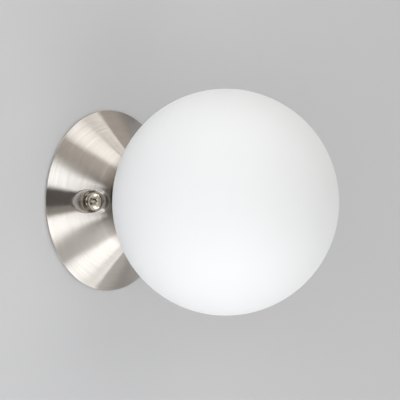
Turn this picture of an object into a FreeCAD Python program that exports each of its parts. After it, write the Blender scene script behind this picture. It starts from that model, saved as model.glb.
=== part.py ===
import FreeCAD, Part
import math
import os

# Globe wall sconce. Millimetres and degrees.
# The wall is the plane y = 0, the sconce stands out of it towards -Y, and +Z is up.
# Round pieces are turned about the Y axis. A profile point is (radius, height),
# where height is the distance from the wall.

Vector = FreeCAD.Vector
AXIS = Vector(0, 1, 0)
ORIGIN = Vector(0, 0, 0)

# Angles
full_turn = 360.0
quarter_turn = 90.0

# Clearances
fit_gap = 0.05
thread_gap = 0.05
draw_gap = 0.4

# Canopy: a spun trumpet with its rim on the wall
canopy_radius = 63.5
canopy_wall = 1.0
rim_lip = 0.8
rim_angle = 33.0
shoulder_angle = 44.0
shoulder_radius = 8.0
neck_radius = 27.0
neck_land = 0.3

# Canopy screws, one on each side, leaning away from the wall
screw_tilt = 72.0
screw_share = 0.2375
head_radius = 6.2
head_edge = 1.2
head_height = 4.5
recess_span = 7.0
recess_foot = 2.4
recess_width = 1.6
recess_depth = 2.8
shank_radius = 2.4
shank_length = 10.0
shank_chamfer = 0.5
seat_margin = 1.3
seat_corner = 1.2
seat_draft = 20.0
seat_reach = 12.0
seat_sink = 1.0
pad_draft = 15.0
pad_round = 1.3
pad_reach = 9.0
hole_margin = 0.5

# Mounting bracket: a stamped cross with two bent ears
bracket_thickness = 1.6
bar_width = 22.0
bar_end = 7.55
hub_radius = 24.0
wire_hole_radius = 13.0
box_spacing_narrow = 69.85
box_spacing_wide = 88.9
box_slot_radius = 2.4
ear_width = 12.4
ear_bend = 1.2
ear_gap = 0.4
ear_collar_radius = 4.2
ear_collar_length = 1.8

# Ground screw in the bracket's hub
ground_radius = 2.0
ground_place = 18.5
ground_bearing = 45.0
ground_head_radius = 4.0
ground_flange = 0.8
ground_hex = 7.0
ground_hex_height = 2.6
ground_slot = 1.0
ground_slot_depth = 1.2
ground_length = 6.0

# Fitter cup: takes the globe's threaded neck
cup_wall = 1.0
cup_lip = 0.8
cup_depth = 14.5
cup_corner = 2.5
cup_bead = 0.9
bead_pitch = 4.2
bead_start = 3.0
bead_count = 2

# Globe and its gasket
globe_radius = 76.2
globe_wall = 3.0
glass_neck_wall = 3.4
glass_neck_length = 11.5
glass_bead = 1.0
glass_edge = 0.8
gasket_thickness = 1.4
gasket_width = 3.0

# Nipple, nut, washer and bushing
nipple_radius = 4.9
nipple_bore = 3.8
nipple_front = 2.4
nipple_back = 10.5
washer_thickness = 0.8
washer_radius = 8.6
washer_tooth = 1.3
washer_teeth = 14
nut_flats = 14.0
nut_height = 3.5
nut_chamfer = 0.8
bushing_flange = 1.2
bushing_overhang = 1.4
bushing_wall = 0.5
bushing_sleeve = 5.0

# Lampholder
strap_thickness = 1.0
strap_width = 9.0
strap_bend = 0.8
strap_hub = 8.0
strap_leg = 13.0
holder_lift = 4.8
holder_radius = 11.5
holder_flat = 11.1
holder_length = 27.0
holder_round = 1.2
holder_floor = 6.0
holder_recess = 3.0
strap_screw_height = 8.4
strap_screw_radius = 1.5
strap_screw_head = 2.6
strap_screw_dome = 1.4
strap_screw_bite = 2.6
shell_radius = 6.15
shell_wall = 0.3
thread_depth = 0.3
thread_pitch = 2.54
shell_waves = 6
shell_flange_hole = 4.2
pocket_depth = 2.5
pocket_width = 6.0
leaf_thickness = 0.4
leaf_width = 4.0
leaf_foot = 6.2
leaf_bend = 0.3
leaf_tail = 0.7
leaf_tail_drop = 1.2
leaf_clearance = 0.3
rivet_radius = 0.9
rivet_head_radius = 1.3
rivet_head = 0.5
rivet_place = 4.4
terminal_width = 6.0
terminal_thickness = 0.8
terminal_inner = 3.0
terminal_outer = 10.0
terminal_screw_place = 7.9
terminal_screw_radius = 1.2
terminal_head_radius = 2.0
terminal_head = 1.6
terminal_slot = 0.6
terminal_slot_depth = 0.7
terminal_bite = 3.0
terminal_screw_short = 0.2

# Bulb
bulb_tip_radius = 2.4
bulb_tip_height = 1.0
insulator_height = 2.5
insulator_radius = 5.0
insulator_foot = 0.4
insulator_rim = 1.2
base_radius = 5.6
base_wall = 0.3
base_waves = 6
glass_thickness = 0.8
bulb_neck_radius = 5.05
bulb_neck_sunk = 3.5
bulb_radius = 17.5
bulb_waist_height = 34.0
bulb_length = 99.0
bulb_sweep = 0.42
bulb_fullness = 0.55
bulb_crown = 0.5
stem_radius = 1.7
stem_length = 27.0
stem_flare = 4.1
stem_foot = 1.5
stem_draw = 8.0
stem_round = 0.8
stem_round_width = 0.6
support_lift = 0.5
post_radius = 0.4
ring_wire = 0.35
spoke_wire = 0.315
low_ring_radius = 5.4
high_ring_radius = 2.4
filament_radius = 0.75
filament_count = 4
filament_length = 38.0


def sine(angle):
    return math.sin(math.radians(angle))


def cosine(angle):
    return math.cos(math.radians(angle))


# Values that follow from the ones above
shoulder_start = neck_radius + shoulder_radius * (1 - sine(shoulder_angle))
screw_crossing_radius = shoulder_start + screw_share * (canopy_radius - shoulder_start)
bar_length = box_spacing_wide + 2 * bar_end
flank_radius = (canopy_radius - shoulder_start) / (sine(shoulder_angle) - sine(rim_angle))
flank_height = flank_radius * (cosine(rim_angle) - cosine(shoulder_angle))
shoulder_height = rim_lip + flank_height + shoulder_radius * cosine(shoulder_angle)
neck_edge = shoulder_height + neck_land
cup_front = neck_edge + cup_lip
cup_floor = cup_front - cup_depth
cup_back = cup_floor - cup_wall
cup_outer = neck_radius - canopy_wall - fit_gap
cup_inner = cup_outer - cup_wall
glass_neck = cup_inner - cup_bead - draw_gap - glass_bead
glass_mouth = glass_neck - glass_neck_wall
globe_seat = cup_front + fit_gap + gasket_thickness + fit_gap
gasket_inner = glass_neck + glass_bead + fit_gap
gasket_outer = gasket_inner + gasket_width
globe_centre = globe_seat + math.sqrt(globe_radius ** 2 - gasket_outer ** 2)
nipple_top = cup_floor + strap_thickness + nipple_front
nipple_end = cup_back - nipple_back
holder_back = cup_floor + holder_lift
holder_front = holder_back + holder_length
cavity_floor = holder_back + holder_floor
shell_outer = shell_radius + thread_depth + shell_wall
cavity_radius = shell_outer + fit_gap
shell_front = holder_front - holder_recess
tip_height = cavity_floor + 1.0
insulator_base = tip_height + bulb_tip_height
base_back = insulator_base + insulator_height
base_front = base_back + base_waves * thread_pitch + 1.6
bulb_end = tip_height + bulb_length
stem_back = base_front - bulb_neck_sunk + 0.4
stem_top = stem_back + stem_length


def flat(radius, height):
    """A profile point: radius from the Y axis, height off the wall."""
    return Vector(radius, -height, 0)


def straight(start, end):
    return Part.LineSegment(start, end).toShape()


def bow(start, middle, end):
    return Part.Arc(start, middle, end).toShape()


def bezier(poles):
    curve = Part.BezierCurve()
    curve.setPoles(poles)
    return curve.toShape()


def straights(points):
    return [straight(a, b) for a, b in zip(points, points[1:])]


def face_of(edges):
    return Part.Face(Part.Wire(edges))


def turned(edges):
    """The solid that a closed profile sweeps about the Y axis."""
    return face_of(edges).revolve(ORIGIN, AXIS, full_turn)


def turned_points(points):
    """A turned solid whose profile is the polygon of (radius, height) pairs."""
    corners = [flat(r, h) for r, h in points]
    return turned(straights(corners + corners[:1]))


def disc(radius, low, high):
    """A plain cylinder on the Y axis between two heights."""
    return Part.makeCylinder(radius, high - low, Vector(0, -low, 0), Vector(0, -1, 0))


def pipe(outer, inner, low, high):
    return disc(outer, low, high).cut(disc(inner, low - 1, high + 1))


def stud(radius, low, high, x, z):
    """A cylinder along Y that stands at x, z."""
    return Part.makeCylinder(radius, high - low, Vector(x, -low, z), Vector(0, -1, 0))


def slab(x_low, x_high, low, high, z_low, z_high):
    """A box between two heights off the wall."""
    return Part.makeBox(x_high - x_low, high - low, z_high - z_low, Vector(x_low, -high, z_low))


def opposite(shape):
    """A copy turned half way round the Y axis."""
    copy = shape.copy()
    copy.rotate(ORIGIN, AXIS, full_turn / 2)
    return copy


def upright(width, height, back):
    """A slot-shaped plate outline, long in Z, as an edge loop at the height back."""
    reach = height / 2 - width / 2
    half = width / 2
    points = [Vector(-half, -back, -reach), Vector(-half, -back, reach), Vector(half, -back, reach)]
    last = Vector(half, -back, -reach)
    top = Vector(0, -back, reach + half)
    bottom = Vector(0, -back, -reach - half)
    return [
        straight(points[0], points[1]),
        bow(points[1], top, points[2]),
        straight(points[2], last),
        bow(last, bottom, points[0]),
    ]


def bent_strip(points, thickness, bend, width):
    """A strip that follows points in the XY plane, each corner bent to the inner radius bend.

    At a corner the centre line turns on the radius bend + thickness / 2, and the two faces
    turn about the same centre. The strip is width wide, centred on z = 0.
    """
    half = thickness / 2
    middle = bend + half
    sides = {1: [], -1: []}
    heads = [(b - a).normalize() for a, b in zip(points, points[1:])]
    normals = [Vector(-d.y, d.x, 0) for d in heads]
    last = {s: points[0] + normals[0] * (s * half) for s in sides}
    first = dict(last)
    for corner, d1, d2, n1, n2 in zip(points[1:], heads, heads[1:], normals, normals[1:]):
        turn = math.copysign(1, d1.cross(d2).z)
        reach = middle * math.tan(d1.getAngle(d2) / 2)
        centre = corner - d1 * reach + n1 * (middle * turn)
        outward = (corner - centre).normalize()
        for s in sides:
            begin = corner - d1 * reach + n1 * (s * half)
            end = corner + d2 * reach + n2 * (s * half)
            crown = centre + outward * (middle - s * turn * half)
            sides[s] += [straight(last[s], begin), bow(begin, crown, end)]
            last[s] = end
    tips = {s: points[-1] + normals[-1] * (s * half) for s in sides}
    for s in sides:
        sides[s].append(straight(last[s], tips[s]))
    caps = [straight(first[1], first[-1]), straight(tips[1], tips[-1])]
    outline = Part.Wire(Part.__sortEdges__(sides[1] + sides[-1] + caps))
    plate = Part.Face(outline).extrude(Vector(0, 0, width))
    plate.translate(Vector(0, 0, -width / 2))
    return plate


def flank_point(slope, offset=0.0):
    """Where the canopy's flank has that slope, offset inwards from its outer face."""
    reach = flank_radius + offset
    radius = canopy_radius + flank_radius * sine(rim_angle) - reach * sine(slope)
    height = rim_lip + flank_radius * cosine(rim_angle) - reach * cosine(slope)
    return radius, height


def flank_slope_at(radius, offset=0.0):
    """The slope of the flank, or of its offset, at a radius."""
    return math.degrees(math.asin(
        (canopy_radius + flank_radius * sine(rim_angle) - radius) / (flank_radius + offset)
    ))


def shoulder_point(slope, offset=0.0):
    """A point of the tight curve between flank and neck."""
    radius, height = flank_point(shoulder_angle)
    radius += shoulder_radius * sine(shoulder_angle)
    height += shoulder_radius * cosine(shoulder_angle)
    reach = shoulder_radius + offset
    return radius - reach * sine(slope), height - reach * cosine(slope)


def canopy_block(offset, top):
    """The canopy's outer form, filled, set in by offset and cut off at the height top.

    It is turned a quarter round, so that its seam lies clear of the two seats.
    """
    rim = canopy_radius - offset
    start = flank_slope_at(rim, offset)
    flank = [start, (start + shoulder_angle) / 2, shoulder_angle]
    shoulder = [shoulder_angle, (shoulder_angle + quarter_turn) / 2, quarter_turn]
    flank_points = [flat(*flank_point(s, offset)) for s in flank]
    shoulder_points = [flat(*shoulder_point(s, offset)) for s in shoulder]
    neck = neck_radius - offset
    edges = straights([flat(0, top), flat(0, 0), flat(rim, 0), flank_points[0]])
    edges.append(bow(*flank_points))
    edges.append(bow(*shoulder_points))
    edges += straights([shoulder_points[2], flat(neck, top), flat(0, top)])
    block = turned(edges)
    block.rotate(ORIGIN, AXIS, quarter_turn)
    return block


def screw_axis():
    """The right-hand screw's direction out of the canopy."""
    return Vector(sine(screw_tilt), -cosine(screw_tilt), 0)


def seat_radius():
    return head_radius + seat_margin


def seat_centre():
    """The middle of the right-hand screw's seat, a little under the flank.

    The seat leans out more than the flank, so it sinks in on the rim's side and stands out on the neck's.
    """
    slope = flank_slope_at(screw_crossing_radius)
    return flat(*flank_point(slope)) - screw_axis() * seat_sink


def on_screw(shape, depth=0.0):
    """Moves a shape made about +Z with its seat at z = 0 onto the right-hand screw's place."""
    turn = FreeCAD.Rotation(Vector(0, 0, 1), screw_axis())
    placed = shape.copy()
    placed.Placement = FreeCAD.Placement(seat_centre() - screw_axis() * depth, turn)
    return placed


def seat_tool(offset):
    """The pressed seat's form, a drafted cup about the screw, grown by offset."""
    radius = seat_radius() + offset
    corner = seat_corner + offset
    turn = quarter_turn - seat_draft
    wall_start = Vector(radius - corner + corner * sine(turn), 0, corner - corner * cosine(turn) - offset)
    wall_end = wall_start + Vector(seat_reach * sine(seat_draft), 0, seat_reach * cosine(seat_draft))
    floor_end = Vector(radius - corner, 0, -offset)
    half_turn = turn / 2
    crown = Vector(
        radius - corner + corner * sine(half_turn), 0, corner - corner * cosine(half_turn) - offset
    )
    edges = [
        straight(Vector(0, 0, -offset), floor_end),
        bow(floor_end, crown, wall_start),
        straight(wall_start, wall_end),
        straight(wall_end, Vector(0, 0, wall_end.z)),
        straight(Vector(0, 0, wall_end.z), Vector(0, 0, -offset)),
    ]
    return face_of(edges).revolve(ORIGIN, Vector(0, 0, 1), full_turn)


def seat_pad(offset):
    """The drafted pad under the seat's plane, which stands out of the flank on the neck's side."""
    turn = quarter_turn - pad_draft
    bend = pad_round - offset
    corner = seat_radius() + (offset * sine(pad_draft) - offset) / cosine(pad_draft)
    start = Vector(corner - bend * sine(turn / 2) / cosine(turn / 2), 0, -offset)
    centre = start - Vector(0, 0, bend)
    crown = centre + Vector(bend * sine(turn / 2), 0, bend * cosine(turn / 2))
    end = centre + Vector(bend * sine(turn), 0, bend * cosine(turn))
    foot = end + Vector(pad_reach * sine(pad_draft), 0, -pad_reach * cosine(pad_draft))
    edges = [straight(Vector(0, 0, -offset), start), bow(start, crown, end)]
    edges += straights([end, foot, Vector(0, 0, foot.z), Vector(0, 0, -offset)])
    return face_of(edges).revolve(ORIGIN, Vector(0, 0, 1), full_turn)


def canopy():
    """A thin spun shell with two seats formed in its flank for the screws."""
    outside = canopy_block(0, neck_edge)
    inside = canopy_block(canopy_wall, neck_edge)
    for turned_round in (False, True):
        press, backing = on_screw(seat_tool(0)), on_screw(seat_tool(canopy_wall))
        pad, lining = on_screw(seat_pad(0)), on_screw(seat_pad(canopy_wall))
        hole = on_screw(Part.makeCylinder(shank_radius + hole_margin, 4 * canopy_wall), 3 * canopy_wall)
        if turned_round:
            press, backing, pad, lining, hole = [opposite(s) for s in (press, backing, pad, lining, hole)]
        outside = outside.cut(press).fuse(pad)
        inside = inside.cut(backing).fuse(lining).fuse(hole)
    return outside.cut(inside).removeSplitter()


def canopy_screw():
    """The right-hand canopy screw: domed head, cross recess and plain shank."""
    dome = head_height - head_edge
    sphere = (head_radius ** 2 + dome ** 2) / (2 * dome)
    spread = math.asin(head_radius / sphere) / 2
    crown = Vector(sphere * math.sin(spread), 0, head_height - sphere * (1 - math.cos(spread)))
    tip = Vector(0, 0, -shank_length)
    edges = straights([
        tip,
        Vector(shank_radius - shank_chamfer, 0, -shank_length),
        Vector(shank_radius, 0, -shank_length + shank_chamfer),
        Vector(shank_radius, 0, 0),
        Vector(head_radius, 0, 0),
        Vector(head_radius, 0, head_edge),
    ])
    edges.append(bow(Vector(head_radius, 0, head_edge), crown, Vector(0, 0, head_height)))
    edges.append(straight(Vector(0, 0, head_height), tip))
    body = face_of(edges).revolve(ORIGIN, Vector(0, 0, 1), full_turn)
    floor = head_height - recess_depth
    wing = Part.makePolygon([
        Vector(-recess_foot / 2, 0, floor),
        Vector(recess_foot / 2, 0, floor),
        Vector(recess_span / 2, 0, head_height + 1),
        Vector(-recess_span / 2, 0, head_height + 1),
        Vector(-recess_foot / 2, 0, floor),
    ])
    blade = Part.Face(wing).extrude(Vector(0, recess_width, 0))
    blade.translate(Vector(0, -recess_width / 2, 0))
    crossed = blade.copy()
    crossed.rotate(ORIGIN, Vector(0, 0, 1), quarter_turn)
    return on_screw(body.cut(blade.fuse(crossed)), -fit_gap)


def ear_plane():
    """A point on the ear's outer face, under the middle of the canopy's seat."""
    return seat_centre() - screw_axis() * (canopy_wall + ear_gap)


def bracket_arm():
    """The right-hand arm, bent up and inwards into a round-ended ear square to the screw."""
    along = Vector(-cosine(screw_tilt), -sine(screw_tilt), 0)
    middle = ear_plane() - screw_axis() * (bracket_thickness / 2)
    drop = (-middle.y - bracket_thickness / 2) / sine(screw_tilt)
    corner = middle - along * drop
    path = [Vector(hub_radius / 2, corner.y, 0), corner, middle]
    arm = bent_strip(path, bracket_thickness, ear_bend, ear_width)
    tip_depth = canopy_wall + ear_gap + bracket_thickness
    tip = on_screw(Part.makeCylinder(ear_width / 2, bracket_thickness), tip_depth)
    collar_length = bracket_thickness + ear_collar_length
    depth = canopy_wall + ear_gap + collar_length
    collar = on_screw(Part.makeCylinder(ear_collar_radius, collar_length), depth)
    bore = on_screw(Part.makeCylinder(shank_radius + thread_gap, 2 * collar_length), depth + 1)
    return arm.fuse([tip, collar]).cut(bore)


def box_slot(centre):
    """One slot for a box screw, reaching from the narrow spacing to the wide one."""
    reach = (box_spacing_wide - box_spacing_narrow) / 2 + 2 * box_slot_radius
    slot = face_of(upright(2 * box_slot_radius, reach, -1)).extrude(Vector(0, -bracket_thickness - 2, 0))
    slot.translate(Vector(0, 0, centre))
    return slot


def ground_centre():
    return ground_place * cosine(ground_bearing), ground_place * sine(ground_bearing)


def mounting_bracket():
    """A stamped cross plate: slotted bar, round hub with the wire hole, two bent ears."""
    plate = face_of(upright(bar_width, bar_length, 0)).extrude(Vector(0, -bracket_thickness, 0))
    plate = plate.fuse(disc(hub_radius, 0, bracket_thickness))
    arm = bracket_arm()
    plate = plate.fuse(arm).fuse(opposite(arm))
    plate = plate.cut(disc(wire_hole_radius, -1, bracket_thickness + 1))
    slot_centre = (box_spacing_narrow + box_spacing_wide) / 4
    for side in (-1, 1):
        plate = plate.cut(box_slot(side * slot_centre))
    x, z = ground_centre()
    plate = plate.cut(stud(ground_radius + thread_gap, -1, bracket_thickness + 1, x, z))
    return plate.removeSplitter()


def hexagon(flats, low, high, x=0.0, z=0.0):
    """A hexagonal prism along Y."""
    reach = flats / 2 / cosine(full_turn / 12)
    corners = [
        Vector(x + reach * cosine(k * full_turn / 6), -low, z + reach * sine(k * full_turn / 6))
        for k in range(7)
    ]
    return Part.Face(Part.makePolygon(corners)).extrude(Vector(0, low - high, 0))


def ground_screw():
    """A washer-faced hex screw with a slot, tapped through the bracket's hub."""
    x, z = ground_centre()
    base = bracket_thickness + fit_gap
    flange = stud(ground_head_radius, base, base + ground_flange, x, z)
    head = hexagon(ground_hex, base + ground_flange, base + ground_flange + ground_hex_height, x, z)
    shank = stud(ground_radius, base - ground_length, base, x, z)
    top = base + ground_flange + ground_hex_height
    half = ground_slot / 2
    slot = slab(x - ground_hex, x + ground_hex, top - ground_slot_depth, top + 1, z - half, z + half)
    return flange.fuse(head).fuse(shank).cut(slot)


def bead(radius, height, proud):
    """A half-round ring on a wall at a radius: outwards if proud is positive, inwards if negative."""
    low = flat(radius, height - abs(proud))
    high = flat(radius, height + abs(proud))
    return turned([bow(low, flat(radius + proud, height), high), straight(high, low)])


def fitter_cup():
    """A drawn cup brazed into the canopy's neck, with a lip over its edge and rolled beads."""
    corner = cup_corner
    turn = corner * (1 - cosine(quarter_turn / 2))
    edges = straights([flat(0, cup_back), flat(cup_outer - corner, cup_back)])
    edges.append(bow(
        flat(cup_outer - corner, cup_back),
        flat(cup_outer - turn, cup_back + turn),
        flat(cup_outer, cup_back + corner),
    ))
    edges += straights([
        flat(cup_outer, cup_back + corner),
        flat(cup_outer, neck_edge),
        flat(neck_radius, neck_edge),
        flat(neck_radius, cup_front),
        flat(0, cup_front),
        flat(0, cup_back),
    ])
    inner_corner = corner - cup_wall
    inner_turn = inner_corner * (1 - cosine(quarter_turn / 2))
    hollow = straights([flat(0, cup_floor), flat(cup_inner - inner_corner, cup_floor)])
    hollow.append(bow(
        flat(cup_inner - inner_corner, cup_floor),
        flat(cup_inner - inner_turn, cup_floor + inner_turn),
        flat(cup_inner, cup_floor + inner_corner),
    ))
    hollow += straights([
        flat(cup_inner, cup_floor + inner_corner),
        flat(cup_inner, cup_front + 1),
        flat(0, cup_front + 1),
        flat(0, cup_floor),
    ])
    cup = turned(edges).cut(turned(hollow))
    for k in range(bead_count):
        cup = cup.fuse(bead(cup_inner + fit_gap, cup_front - bead_start - k * bead_pitch, -cup_bead))
    return cup.cut(disc(nipple_radius + fit_gap, cup_back - 1, cup_floor + 1))


def neck_gasket():
    return pipe(gasket_outer, gasket_inner, cup_front + fit_gap, globe_seat - fit_gap)


def globe_profile(radius, neck, seat, end, crossing):
    """A sphere of that radius opening into a neck: edges from the neck's end to the sphere's front.

    crossing is the radius at which the sphere meets the shoulder, at the height seat.
    """
    back = flat(neck, end)
    shoulder = flat(crossing, seat)
    front = flat(0, globe_centre + radius)
    side = flat(radius, globe_centre)
    return straights([back, flat(neck, seat), shoulder]) + [bow(shoulder, side, front)]


def globe():
    """The blown glass globe: a sphere with a short open neck that carries a rolled thread."""
    end = globe_seat - glass_neck_length
    inner = globe_radius - globe_wall
    inner_seat = globe_centre - math.sqrt(inner ** 2 - (glass_mouth + glass_edge) ** 2)
    outside = globe_profile(globe_radius, glass_neck, globe_seat, end, gasket_outer)
    outside += straights([flat(0, globe_centre + globe_radius), flat(0, end), flat(glass_neck, end)])
    inside = globe_profile(inner, glass_mouth, inner_seat, end - 1, glass_mouth + glass_edge)
    inside += straights([flat(0, globe_centre + inner), flat(0, end - 1), flat(glass_mouth, end - 1)])
    glass = turned(outside)
    for k in range(bead_count):
        height = cup_front - bead_start - (k + 0.5) * bead_pitch
        glass = glass.fuse(bead(glass_neck - fit_gap, height, glass_bead + fit_gap))
    return glass.cut(turned(inside))


def nipple():
    return pipe(nipple_radius, nipple_bore, nipple_end, nipple_top)


def lock_washer():
    """A flat ring with teeth round its edge."""
    high = cup_back
    low = high - washer_thickness
    ring = pipe(washer_radius - washer_tooth, nipple_radius + fit_gap, low, high)
    pitch = full_turn / washer_teeth
    width = 0.5 * (washer_radius - washer_tooth) * 2 * sine(pitch / 2)
    for k in range(washer_teeth):
        tooth = slab(washer_radius - 2 * washer_tooth, washer_radius, low, high, -width / 2, width / 2)
        tooth.rotate(ORIGIN, AXIS, k * pitch)
        ring = ring.fuse(tooth)
    return ring.removeSplitter()


def nipple_nut():
    """A hex nut with chamfered corners."""
    high = cup_back - washer_thickness
    low = high - nut_height
    corner = nut_flats / 2 / cosine(full_turn / 12)
    barrel = turned_points([
        (0, low), (corner - nut_chamfer, low), (corner, low + nut_chamfer / 2),
        (corner, high - nut_chamfer / 2), (corner - nut_chamfer, high), (0, high),
    ])
    nut = hexagon(nut_flats, low, high).common(barrel)
    return nut.cut(disc(nipple_radius + thread_gap, low - 1, high + 1))


def nipple_bushing():
    """A plastic bushing pushed into the nipple's back end, so that its edge can't cut a lead."""
    sleeve = nipple_bore - fit_gap
    outer = nipple_radius + bushing_overhang
    flange_back = nipple_end - bushing_flange
    return turned_points([
        (sleeve - bushing_wall, flange_back),
        (outer, flange_back),
        (outer, nipple_end),
        (sleeve, nipple_end),
        (sleeve, nipple_end + bushing_sleeve),
        (sleeve - bushing_wall, nipple_end + bushing_sleeve),
    ])


def strap_screw_level():
    return cup_floor + strap_screw_height


def socket_strap():
    """A U-shaped strap on the nipple, its legs screwed to the lampholder's flats."""
    half = strap_thickness / 2
    reach = holder_flat + fit_gap + half
    base = -(cup_floor + half)
    top = -(cup_floor + strap_leg)
    path = [Vector(-reach, top, 0), Vector(-reach, base, 0), Vector(reach, base, 0), Vector(reach, top, 0)]
    strap = bent_strip(path, strap_thickness, strap_bend, strap_width)
    round_end = cup_floor + strap_leg - strap_width / 2
    keep = Part.makeCylinder(strap_width / 2, 4 * reach, Vector(-2 * reach, -round_end, 0), Vector(1, 0, 0))
    below = slab(-2 * reach, 2 * reach, cup_floor, round_end, -strap_width / 2, strap_width / 2)
    strap = strap.common(keep.fuse(below))
    strap = strap.fuse(disc(strap_hub, cup_floor, cup_floor + strap_thickness))
    strap = strap.cut(disc(nipple_radius + thread_gap, cup_floor - 1, cup_floor + strap_thickness + 1))
    across = Part.makeCylinder(
        strap_screw_radius + fit_gap, 4 * reach, Vector(-2 * reach, -strap_screw_level(), 0), Vector(1, 0, 0)
    )
    return strap.cut(across).removeSplitter()


def strap_screw():
    """The right-hand strap screw, along X."""
    face = holder_flat + fit_gap + strap_thickness
    shank_tip = holder_flat - strap_screw_bite
    middle = Vector(0, -strap_screw_level(), 0)
    across = Vector(1, 0, 0)
    shank = Part.makeCylinder(strap_screw_radius, face - shank_tip, middle + across * shank_tip, across)
    head = Part.makeCylinder(strap_screw_head, strap_screw_dome, middle + across * face, across)
    slot = Part.makeBox(1, 2 * strap_screw_head, terminal_slot)
    slot.translate(middle + Vector(face + strap_screw_dome / 2, -strap_screw_head, -terminal_slot / 2))
    return shank.fuse(head).cut(slot)


def strap_screws():
    screw = strap_screw()
    return Part.makeCompound([screw, opposite(screw)])


def socket_body():
    """The glazed lampholder: round with two flats, a deep cavity and a pocket for the leaf."""
    turn = holder_round * (1 - cosine(quarter_turn / 2))
    edges = straights([
        flat(0, holder_back),
        flat(holder_radius, holder_back),
        flat(holder_radius, holder_front - holder_round),
    ])
    edges.append(bow(
        flat(holder_radius, holder_front - holder_round),
        flat(holder_radius - turn, holder_front - turn),
        flat(holder_radius - holder_round, holder_front),
    ))
    edges += straights([
        flat(holder_radius - holder_round, holder_front),
        flat(0, holder_front),
        flat(0, holder_back),
    ])
    body = turned(edges)
    between = slab(
        -holder_flat, holder_flat, holder_back - 1, holder_front + 1, -2 * holder_radius, 2 * holder_radius
    )
    body = body.common(between)
    body = body.cut(disc(cavity_radius, cavity_floor, holder_front + 1))
    half = pocket_width / 2
    pocket_end = leaf_foot + leaf_clearance
    body = body.cut(slab(-half, half, cavity_floor - pocket_depth, cavity_floor + 1, -pocket_end, half))
    for side in (-1, 1):
        rivet_at = side * rivet_place
        body = body.cut(stud(rivet_radius + fit_gap, holder_back - 1, cavity_floor + 1, 0, rivet_at))
        hole_top = holder_back + terminal_bite
        place = side * terminal_screw_place
        body = body.cut(stud(terminal_screw_radius + fit_gap, holder_back - 1, hole_top, 0, place))
        blind = Part.makeCylinder(
            strap_screw_radius + fit_gap,
            2 * strap_screw_bite,
            Vector(side * (holder_flat + strap_screw_bite), -strap_screw_level(), 0),
            Vector(-side, 0, 0),
        )
        body = body.cut(blind)
    return body


def waves(radius, start, count, rise):
    """Edges of count round waves along the height, each one thread pitch long."""
    edges = []
    for k in range(count):
        low = start + k * thread_pitch
        high = low + thread_pitch
        edges.append(bow(flat(radius, low), flat(radius + rise, (low + high) / 2), flat(radius, high)))
    return edges


def socket_screw_shell():
    """The lampholder's rolled screw shell, with a flange on the cavity's floor."""
    low = cavity_floor + shell_wall
    wave_start = shell_front - shell_waves * thread_pitch
    outer = shell_radius + shell_wall
    edges = straights([
        flat(shell_flange_hole, cavity_floor),
        flat(outer, cavity_floor),
        flat(outer, wave_start),
    ])
    edges += waves(outer, wave_start, shell_waves, thread_depth)
    edges.append(straight(flat(outer, shell_front), flat(shell_radius, shell_front)))
    edges += waves(shell_radius, wave_start, shell_waves, thread_depth)
    edges += straights([
        flat(shell_radius, wave_start),
        flat(shell_radius, low),
        flat(shell_flange_hole, low),
        flat(shell_flange_hole, cavity_floor),
    ])
    shell = Part.Face(Part.Wire(Part.__sortEdges__(edges))).revolve(ORIGIN, AXIS, full_turn)
    return shell.cut(stud(rivet_radius + fit_gap, cavity_floor - 1, low + 1, 0, rivet_place))


def socket_centre_contact():
    """A brass leaf, riveted in the pocket and sprung up to the bulb's tip."""
    half = leaf_thickness / 2
    foot = cavity_floor - pocket_depth + half
    tip = tip_height - fit_gap - half
    path = [
        Vector(-leaf_foot, -foot, 0),
        Vector(-rivet_place + rivet_head_radius + leaf_thickness, -foot, 0),
        Vector(-bulb_tip_radius / 2, -tip, 0),
        Vector(bulb_tip_radius / 2, -tip, 0),
        Vector(bulb_tip_radius / 2 + leaf_tail, -tip + leaf_tail_drop, 0),
    ]
    leaf = bent_strip(path, leaf_thickness, leaf_bend, leaf_width)
    leaf.rotate(ORIGIN, AXIS, -quarter_turn)
    return leaf.cut(stud(rivet_radius + fit_gap, foot - 1, foot + 1, 0, -rivet_place))


def contact_rivet(place, seat):
    """A rivet from the terminal plate to what it holds at the height seat."""
    back = holder_back - terminal_thickness
    shank = stud(rivet_radius, back - rivet_head, seat + rivet_head, 0, place)
    front_head = stud(rivet_head_radius, seat, seat + rivet_head, 0, place)
    back_head = stud(rivet_head_radius, back - rivet_head, back, 0, place)
    return shank.fuse(front_head).fuse(back_head)


def contact_rivets():
    centre = contact_rivet(-rivet_place, cavity_floor - pocket_depth + leaf_thickness)
    shell = contact_rivet(rivet_place, cavity_floor + shell_wall)
    return Part.makeCompound([centre, shell])


def terminal_plate():
    """The upper terminal plate, on the lampholder's back."""
    low = holder_back - terminal_thickness
    half = terminal_width / 2
    plate = slab(-half, half, low, holder_back, terminal_inner, terminal_outer)
    high = holder_back + 1
    plate = plate.cut(stud(rivet_radius + fit_gap, low - 1, high, 0, rivet_place))
    return plate.cut(stud(terminal_screw_radius + fit_gap, low - 1, high, 0, terminal_screw_place))


def terminal_plates():
    plate = terminal_plate()
    return Part.makeCompound([plate, opposite(plate)])


def terminal_screw():
    """The upper terminal screw, with its slotted head towards the wall."""
    face = holder_back - terminal_thickness
    low = face - terminal_head
    head = stud(terminal_head_radius, low, face, 0, terminal_screw_place)
    tip = holder_back + terminal_bite - terminal_screw_short
    shank = stud(terminal_screw_radius, face, tip, 0, terminal_screw_place)
    half = terminal_slot / 2
    reach = 2 * terminal_head_radius
    bottom = low + terminal_slot_depth
    slot = slab(-reach, reach, low - 1, bottom, terminal_screw_place - half, terminal_screw_place + half)
    return head.fuse(shank).cut(slot)


def terminal_screws():
    screw = terminal_screw()
    return Part.makeCompound([screw, opposite(screw)])


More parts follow.
